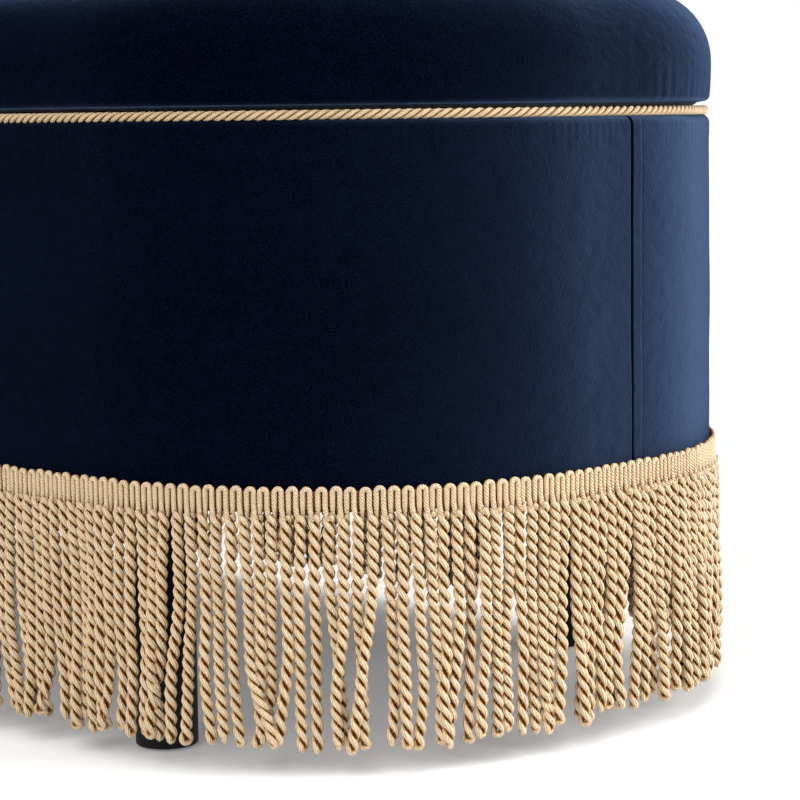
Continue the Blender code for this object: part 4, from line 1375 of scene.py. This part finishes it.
class BENCH_OT_linings(bpy.types.Operator):
    """Line the box and the lid, and close the underside with a dust cover"""

    bl_idname = "bench.linings"
    bl_label = "Linings"

    # Distances from the edge of the lid's cloth, and how far it hangs down there over the cushion's roll
    ROLL_PLACES = (0.0, 0.003, 0.0065, 0.01, 0.015)
    ROLL_DROPS = (0.0022, 0.0038, 0.0042, 0.0031, 0.0)
    # How far the wall cloth's creases may stand out into the box, below 0, and sink to the wall, above 0
    CREASE_LIMITS = (-0.0005, 0.0002)

    cloth: size("Cloth", 0.0006, "Thickness of the lining cloth")
    hem: size("Hem", 0.016, "Depth of the turned hem")
    hem_step: size("Hem Step", 0.0002, "How far the hem stands out from the wall cloth")
    crease: size("Crease", 0.0004, "Depth of the creases in the cloth")
    calm_edge: size("Calm Edge", 0.05, "Distance over which a flat cloth calms down towards its edge")
    calm_wall: size("Calm Wall", 0.03, "Height over which the wall cloth calms down at hem and foot")
    wall_gap: size("Wall Gap", 0.0005, "Gap between the wall cloth and the wall")
    lid_tuck: size("Lid Tuck", 0.003, "How far the lid's cloth stops short of the lid board's lining")
    hinge_ease: size("Hinge Ease", 0.03, "Distance over which the lid's roll ends at the straight back")
    stud_hole: size("Stud Hole", 0.0052, "Radius of the holes for the feet's studs")
    drill_depth: size("Drill Depth", 0.02, "Length of the drill that makes them")

    def inset_of(self, low, high):
        """How far a node's box lies inside the velvet's face."""
        return (COVER_HIGH.x - COVER_LOW.x - (high.x - low.x)) / 2

    def cut_cloth(self, name, outline, inset, z):
        """A level cloth cut to the outline: a hem round its edge, filled with a grid."""
        profile = [(inset, z), *run((inset, z), (inset + self.hem, z), 8)]
        sheet = laid_sheet(name, outline, np.linspace(0, outline.perimeter, 421), profile)
        reach = outline.radius - inset - self.hem + SLACK
        weld(sheet)
        select_rim(sheet, lambda place: outline.from_core(place.x, place.y) < reach)
        bpy.ops.mesh.fill_grid(span=140)
        face_outwards()
        return sheet

    def creases(self, seed, x, y):
        """Waves that cross a flat cloth in seven directions."""
        dice = np.random.default_rng(seed)
        slopes = zip(dice.uniform(-30, 30, 7), dice.uniform(-40, 40, 7), dice.uniform(0, 6, 7))
        return sum(np.sin(x * a + y * b + c) for a, b, c in slopes)

    def flat_cloth(self, name, outline, node_name, material, held, rests_on, body, tuck=0.0, drop=None):
        """A flat cloth cut to the outline, a little uneven, with a hem round its edge.

        drop takes each point and its distance from the edge, and gives how far the cloth hangs down there.
        """
        low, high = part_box(node_name)
        inset = self.inset_of(low, high) + tuck
        middle, depth = (low.z + high.z) / 2, high.z - low.z
        sheet = self.cut_cloth(name, outline, inset, middle)
        points = points_of(sheet)
        x, y = points[:, 0], points[:, 1]
        from_edge = outline.radius - inset - outline.from_core(x, y)
        waves = self.creases(len(name), x, y) * np.clip(from_edge / self.calm_edge, 0, 1)
        room = depth / 2 - self.cloth / 2
        points[:, 2] = middle + np.clip(self.crease / 2 * waves, -room, room)
        if drop:
            points[:, 2] -= drop(points, from_edge)
        set_points(sheet, points)
        set_uv(sheet, points[:, :2])
        apply_modifier(sheet, "SOLIDIFY", thickness=self.cloth, offset=0)
        smooth(sheet, degrees=40)
        dress(sheet, material, body, "black_cloth", node_name)
        return sheet

    def bore(self, sheet):
        """Drills holes in the dust cover for the feet's studs."""
        add = bpy.ops.mesh.primitive_cylinder_add
        for corner in CORNERS:
            low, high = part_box("foot_" + corner)
            place = ((low.x + high.x) / 2, (low.y + high.y) / 2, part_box("dust_cover")[0].z)
            drill = primitive(
                "drill", add, vertices=32, radius=self.stud_hole, depth=self.drill_depth, location=place
            )
            apply_modifier(sheet, "BOOLEAN", operation="DIFFERENCE", object=drill, solver="EXACT")
            bpy.data.objects.remove(drill)

    def wall_cloth(self, outline, material):
        """The cloth on the inside of the walls, with a hem at its top."""
        low, high = LINING_LOW, LINING_HIGH
        outer = self.inset_of(low, high)
        crease = ripples(outline, seed=31, waves=9, shortest=0.03, longest=0.2, depth=self.crease)
        hem_z = high.z - self.hem

        def shape(distance, inset, z):
            at_hem = np.clip((hem_z - z) / self.calm_wall, 0, 1)
            at_foot = np.clip((z - low.z) / self.calm_wall, 0, 1)
            creased = np.clip(crease(distance, inset, z), *self.CREASE_LIMITS) * at_hem * at_foot
            return inset - creased + np.where(z > hem_z, self.hem_step, 0.0), z

        heights = [*np.linspace(low.z, hem_z, 24), hem_z + 2 * self.hem_step, high.z - self.cloth, high.z]
        profile = [(outer + self.wall_gap, z) for z in heights[::-1]]
        distances = np.linspace(0, outline.perimeter, 621)
        sheet = laid_sheet("box_wall_cloth", outline, distances, profile, shape)
        weld(sheet)
        bpy.ops.object.mode_set(mode="OBJECT")
        apply_modifier(sheet, "SOLIDIFY", thickness=self.cloth, offset=-1)
        dress(sheet, material, "body", "black_cloth", "box_lining")

    def execute(self, context):
        outline = Outline(context.scene.bench_body)
        lining = cloth_material("lining_cloth", threads=1400.0, factor=1.0)
        dust = cloth_material("dust_cloth", threads=900.0, factor=0.8)

        def over_roll(points, from_edge):
            on_straight = np.clip((outline.along - abs(points[:, 0])) / self.hinge_ease, 0, 1)
            at_hinges = on_straight * (points[:, 1] > 0)
            return (1 - at_hinges) * np.interp(from_edge, self.ROLL_PLACES, self.ROLL_DROPS)

        self.wall_cloth(outline, lining)
        base = {"body": "body", "rests_on": "base_panel"}
        self.flat_cloth("box_floor_cloth", outline, "floor_lining", lining, held="laid", **base)
        self.flat_cloth(
            "lid_underside_cloth",
            outline,
            "lid_lining",
            lining,
            held="stretched",
            rests_on="lid_board",
            body="lid",
            tuck=self.lid_tuck,
            drop=over_roll,
        )
        cover = self.flat_cloth("dust_cloth_under", outline, "dust_cover", dust, held="stretched", **base)
        self.bore(cover)
        return {"FINISHED"}


class BENCH_OT_hinge_screws(bpy.types.Operator):
    """Drive domed screws into each hinge leaf"""

    bl_idname = "bench.hinge_screws"
    bl_label = "Hinge Screws"

    # Half the width of the cross recess, and its reach, as shares of the head's radius
    CROSS_WIDTH = 0.16
    CROSS_REACH = 0.62

    count: number("Count", 3, 1, "Screws in each leaf")
    radius: size("Radius", 0.003, "Radius of a screw's head")
    dome: size("Dome", 0.0009, "Height of a screw's head")
    recess: size("Recess", 0.0006, "Depth of the cross recess")
    stagger: size("Stagger", 0.0015, "How far the screws stand to either side of their line")
    pin_gap: size("Pin Gap", 0.0005, "Gap between a leaf's flat part and the pin")
    knuckle: size("Knuckle", 0.004, "How far the knuckles reach in front of the pin")

    def screw(self, name, place, up):
        """A domed head with a cross recess, standing on a leaf."""
        add = bpy.ops.mesh.primitive_uv_sphere_add
        head = primitive(name, add, segments=24, ring_count=12, radius=1)
        points = points_of(head)
        points[:, 2] = np.maximum(points[:, 2], 0)
        x, y, z = points.T
        cross = np.minimum(abs(x), abs(y)) < self.CROSS_WIDTH
        within = np.hypot(x, y) < self.CROSS_REACH
        sink = np.where(cross & within & (z > 0), self.recess, 0)
        points *= (self.radius, self.radius, self.dome)
        points[:, 2] = np.maximum(points[:, 2] - sink, 0)
        points[:, 1:] *= up
        set_points(head, points + np.array(place))
        weld(head)
        face_outwards()
        smooth(head, degrees=40)
        return head

    def leaf_face(self, leaf, side):
        """Height of a leaf's free face, which looks at the other leaf."""
        pin_low, pin_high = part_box("hinge_pin_" + side)
        axis = (pin_low.z + pin_high.z) / 2
        points = points_of(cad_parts[f"hinge_{leaf}_leaf_{side}"])
        plate = points[points[:, 1] < pin_low.y - self.knuckle]
        return plate[np.argmin(abs(plate[:, 2] - axis)), 2]

    def execute(self, context):
        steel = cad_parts["hinge_pin_left"].data.materials[0]
        for side in HINGES:
            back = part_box("hinge_pin_" + side)[0].y - self.pin_gap
            for leaf, up, body in (("base", 1, "body"), ("lid", -1, "lid")):
                low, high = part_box(f"hinge_{leaf}_leaf_{side}")
                face = self.leaf_face(leaf, side)
                for k in range(self.count):
                    x = low.x + (high.x - low.x) * (k + 0.5) / self.count
                    y = (low.y + back) / 2 - (self.stagger if k % 2 else -self.stagger)
                    head = self.screw(f"hinge_screw_{leaf}_{side}_{k + 1}", (x, y, face), up)
                    dress(head, steel, body, "hinge_steel")
        return {"FINISHED"}


class BENCH_OT_stage(bpy.types.Operator):
    """Set the camera, the pale floor and the soft studio light"""

    bl_idname = "bench.stage"
    bl_label = "Stage"

    # Each lamp's angle from +X, its angle above the floor and its softness, in degrees, and its strength
    LAMPS = {
        "side_light": (42, 19, 50, 4.4),
        "front_light": (-75, 40, 50, 2.4),
        "top_light": (0, 88, 60, 1.0),
    }
    # Strength of the sky's own light, and of the glow that the camera sees on the floor
    SKY_LIGHT = 0.05
    FLOOR_GLOW = 0.14

    lens: FloatProperty(name="Lens", default=114.885, description="Focal length in millimetres")
    eye: FloatVectorProperty(
        name="Eye",
        default=(1.5685, -1.2097, 0.3787),
        description="Place of the camera",
        subtype="TRANSLATION",
        unit="LENGTH",
    )
    heading: angle("Heading", 0.7434, "Turn to the left of +Y")
    tilt: angle("Tilt", 0.1119, "Tilt below the level")
    roll: angle("Roll", -0.01243, "Roll about the line of sight")
    floor_width: size("Floor Width", 60, "Width of the floor")

    def camera(self, context):
        """The camera, turned from a level view along +Y."""
        lens = bpy.data.cameras.new("camera")
        lens.lens = self.lens
        camera = bpy.data.objects.new("camera", lens)
        context.scene.collection.objects.link(camera)
        aim = Matrix.Rotation(self.heading, 4, "Z") @ Matrix.Rotation(math.pi / 2 - self.tilt, 4, "X")
        camera.matrix_world = Matrix.Translation(self.eye) @ aim @ Matrix.Rotation(self.roll, 4, "Z")
        context.scene.camera = camera

    def seen(self, tree):
        """1 where the camera, a reflection or a clear piece sees the surface, and 0 for other light."""
        path = node(tree, "LightPath").outputs
        seen = math_node(tree, "MAXIMUM", path["Is Camera Ray"], path["Is Glossy Ray"])
        return math_node(tree, "MAXIMUM", seen, path["Is Transmission Ray"])

    def floor(self, context):
        """The pale floor, which glows a little where it is seen."""
        pale = opaque(context.scene.bench_colours.floor)
        floor = primitive("studio_floor", bpy.ops.mesh.primitive_plane_add, size=self.floor_width)
        material, tree, shader = new_material(
            "studio_floor", base_color=pale, roughness=0.9, specular_ior_level=0.0
        )
        strength = math_node(tree, "MULTIPLY", self.seen(tree), self.FLOOR_GLOW)
        glow = node(tree, "Emission", {"Strength": strength})
        both = node(tree, "AddShader", {0: shader.outputs[0], 1: glow.outputs[0]})
        plug(tree, tree.nodes["Material Output"].inputs, {"Surface": both.outputs[0]})
        paint(floor, material)

    def sky(self, context):
        """The sky, white where it is seen, with little light of its own."""
        world = bpy.data.worlds.new("studio_sky")
        world.use_nodes = True
        context.scene.world = world
        tree = world.node_tree
        strength = math_node(tree, "MULTIPLY_ADD", self.seen(tree), 1 - self.SKY_LIGHT, self.SKY_LIGHT)
        plug(tree, tree.nodes["Background"].inputs, {"Color": (1, 1, 1, 1), "Strength": strength})

    def lamp(self, context, name, azimuth, elevation, softness, strength):
        """A soft lamp that shines from a direction."""
        light = bpy.data.lights.new(name, "SUN")
        light.energy = strength
        light.angle = math.radians(softness)
        lamp = bpy.data.objects.new(name, light)
        context.scene.collection.objects.link(lamp)
        turn, rise = math.radians(azimuth), math.radians(elevation)
        level = math.cos(rise)
        towards = Vector((math.cos(turn) * level, math.sin(turn) * level, math.sin(rise)))
        lamp.rotation_euler = towards.to_track_quat("Z", "Y").to_euler()

    def execute(self, context):
        self.camera(context)
        self.floor(context)
        self.sky(context)
        for name, settings in self.LAMPS.items():
            self.lamp(context, name, *settings)
        context.scene.view_settings.view_transform = "Standard"
        return {"FINISHED"}


OPERATORS = (
    BENCH_OT_stage,
    BENCH_OT_carcass,
    BENCH_OT_feet,
    BENCH_OT_body_covers,
    BENCH_OT_seam_stitches,
    BENCH_OT_rope,
    BENCH_OT_gimp_header,
    BENCH_OT_bullion,
    BENCH_OT_cushion,
    BENCH_OT_tuft_buttons,
    BENCH_OT_linings,
    BENCH_OT_hinge_screws,
)
GROUPS = {
    "bench_body": BenchBodySizes,
    "bench_trim": BenchTrimSizes,
    "bench_lid": BenchLidSizes,
    "bench_colours": BenchColours,
}


class BENCH_PT_panel(bpy.types.Panel):
    """Lists the sizes and colours of the bench and the steps that dress it"""

    bl_idname = "BENCH_PT_panel"
    bl_label = "Storage Bench"
    bl_space_type = "VIEW_3D"
    bl_region_type = "UI"
    bl_category = "Bench"

    def draw(self, context):
        for name, group in GROUPS.items():
            column = self.layout.column(heading=group.__doc__)
            for key in group.__annotations__:
                column.prop(getattr(context.scene, name), key)
        for operator in OPERATORS:
            self.layout.operator(operator.bl_idname)


def register():
    for made in (*GROUPS.values(), *OPERATORS, BENCH_PT_panel):
        bpy.utils.register_class(made)
    for name, group in GROUPS.items():
        setattr(bpy.types.Scene, name, PointerProperty(type=group))


def unregister():
    for name in GROUPS:
        delattr(bpy.types.Scene, name)
    for made in reversed((*GROUPS.values(), *OPERATORS, BENCH_PT_panel)):
        bpy.utils.unregister_class(made)


def main():
    register()
    bpy.ops.bench.stage()
    bpy.ops.bench.carcass()
    bpy.ops.bench.feet()
    bpy.ops.bench.body_covers()
    bpy.ops.bench.seam_stitches()
    bpy.ops.bench.rope()
    bpy.ops.bench.gimp_header()
    bpy.ops.bench.bullion()
    bpy.ops.bench.cushion()
    bpy.ops.bench.tuft_buttons()
    bpy.ops.bench.linings()
    bpy.ops.bench.hinge_screws()


if __name__ == "__main__":
    main()
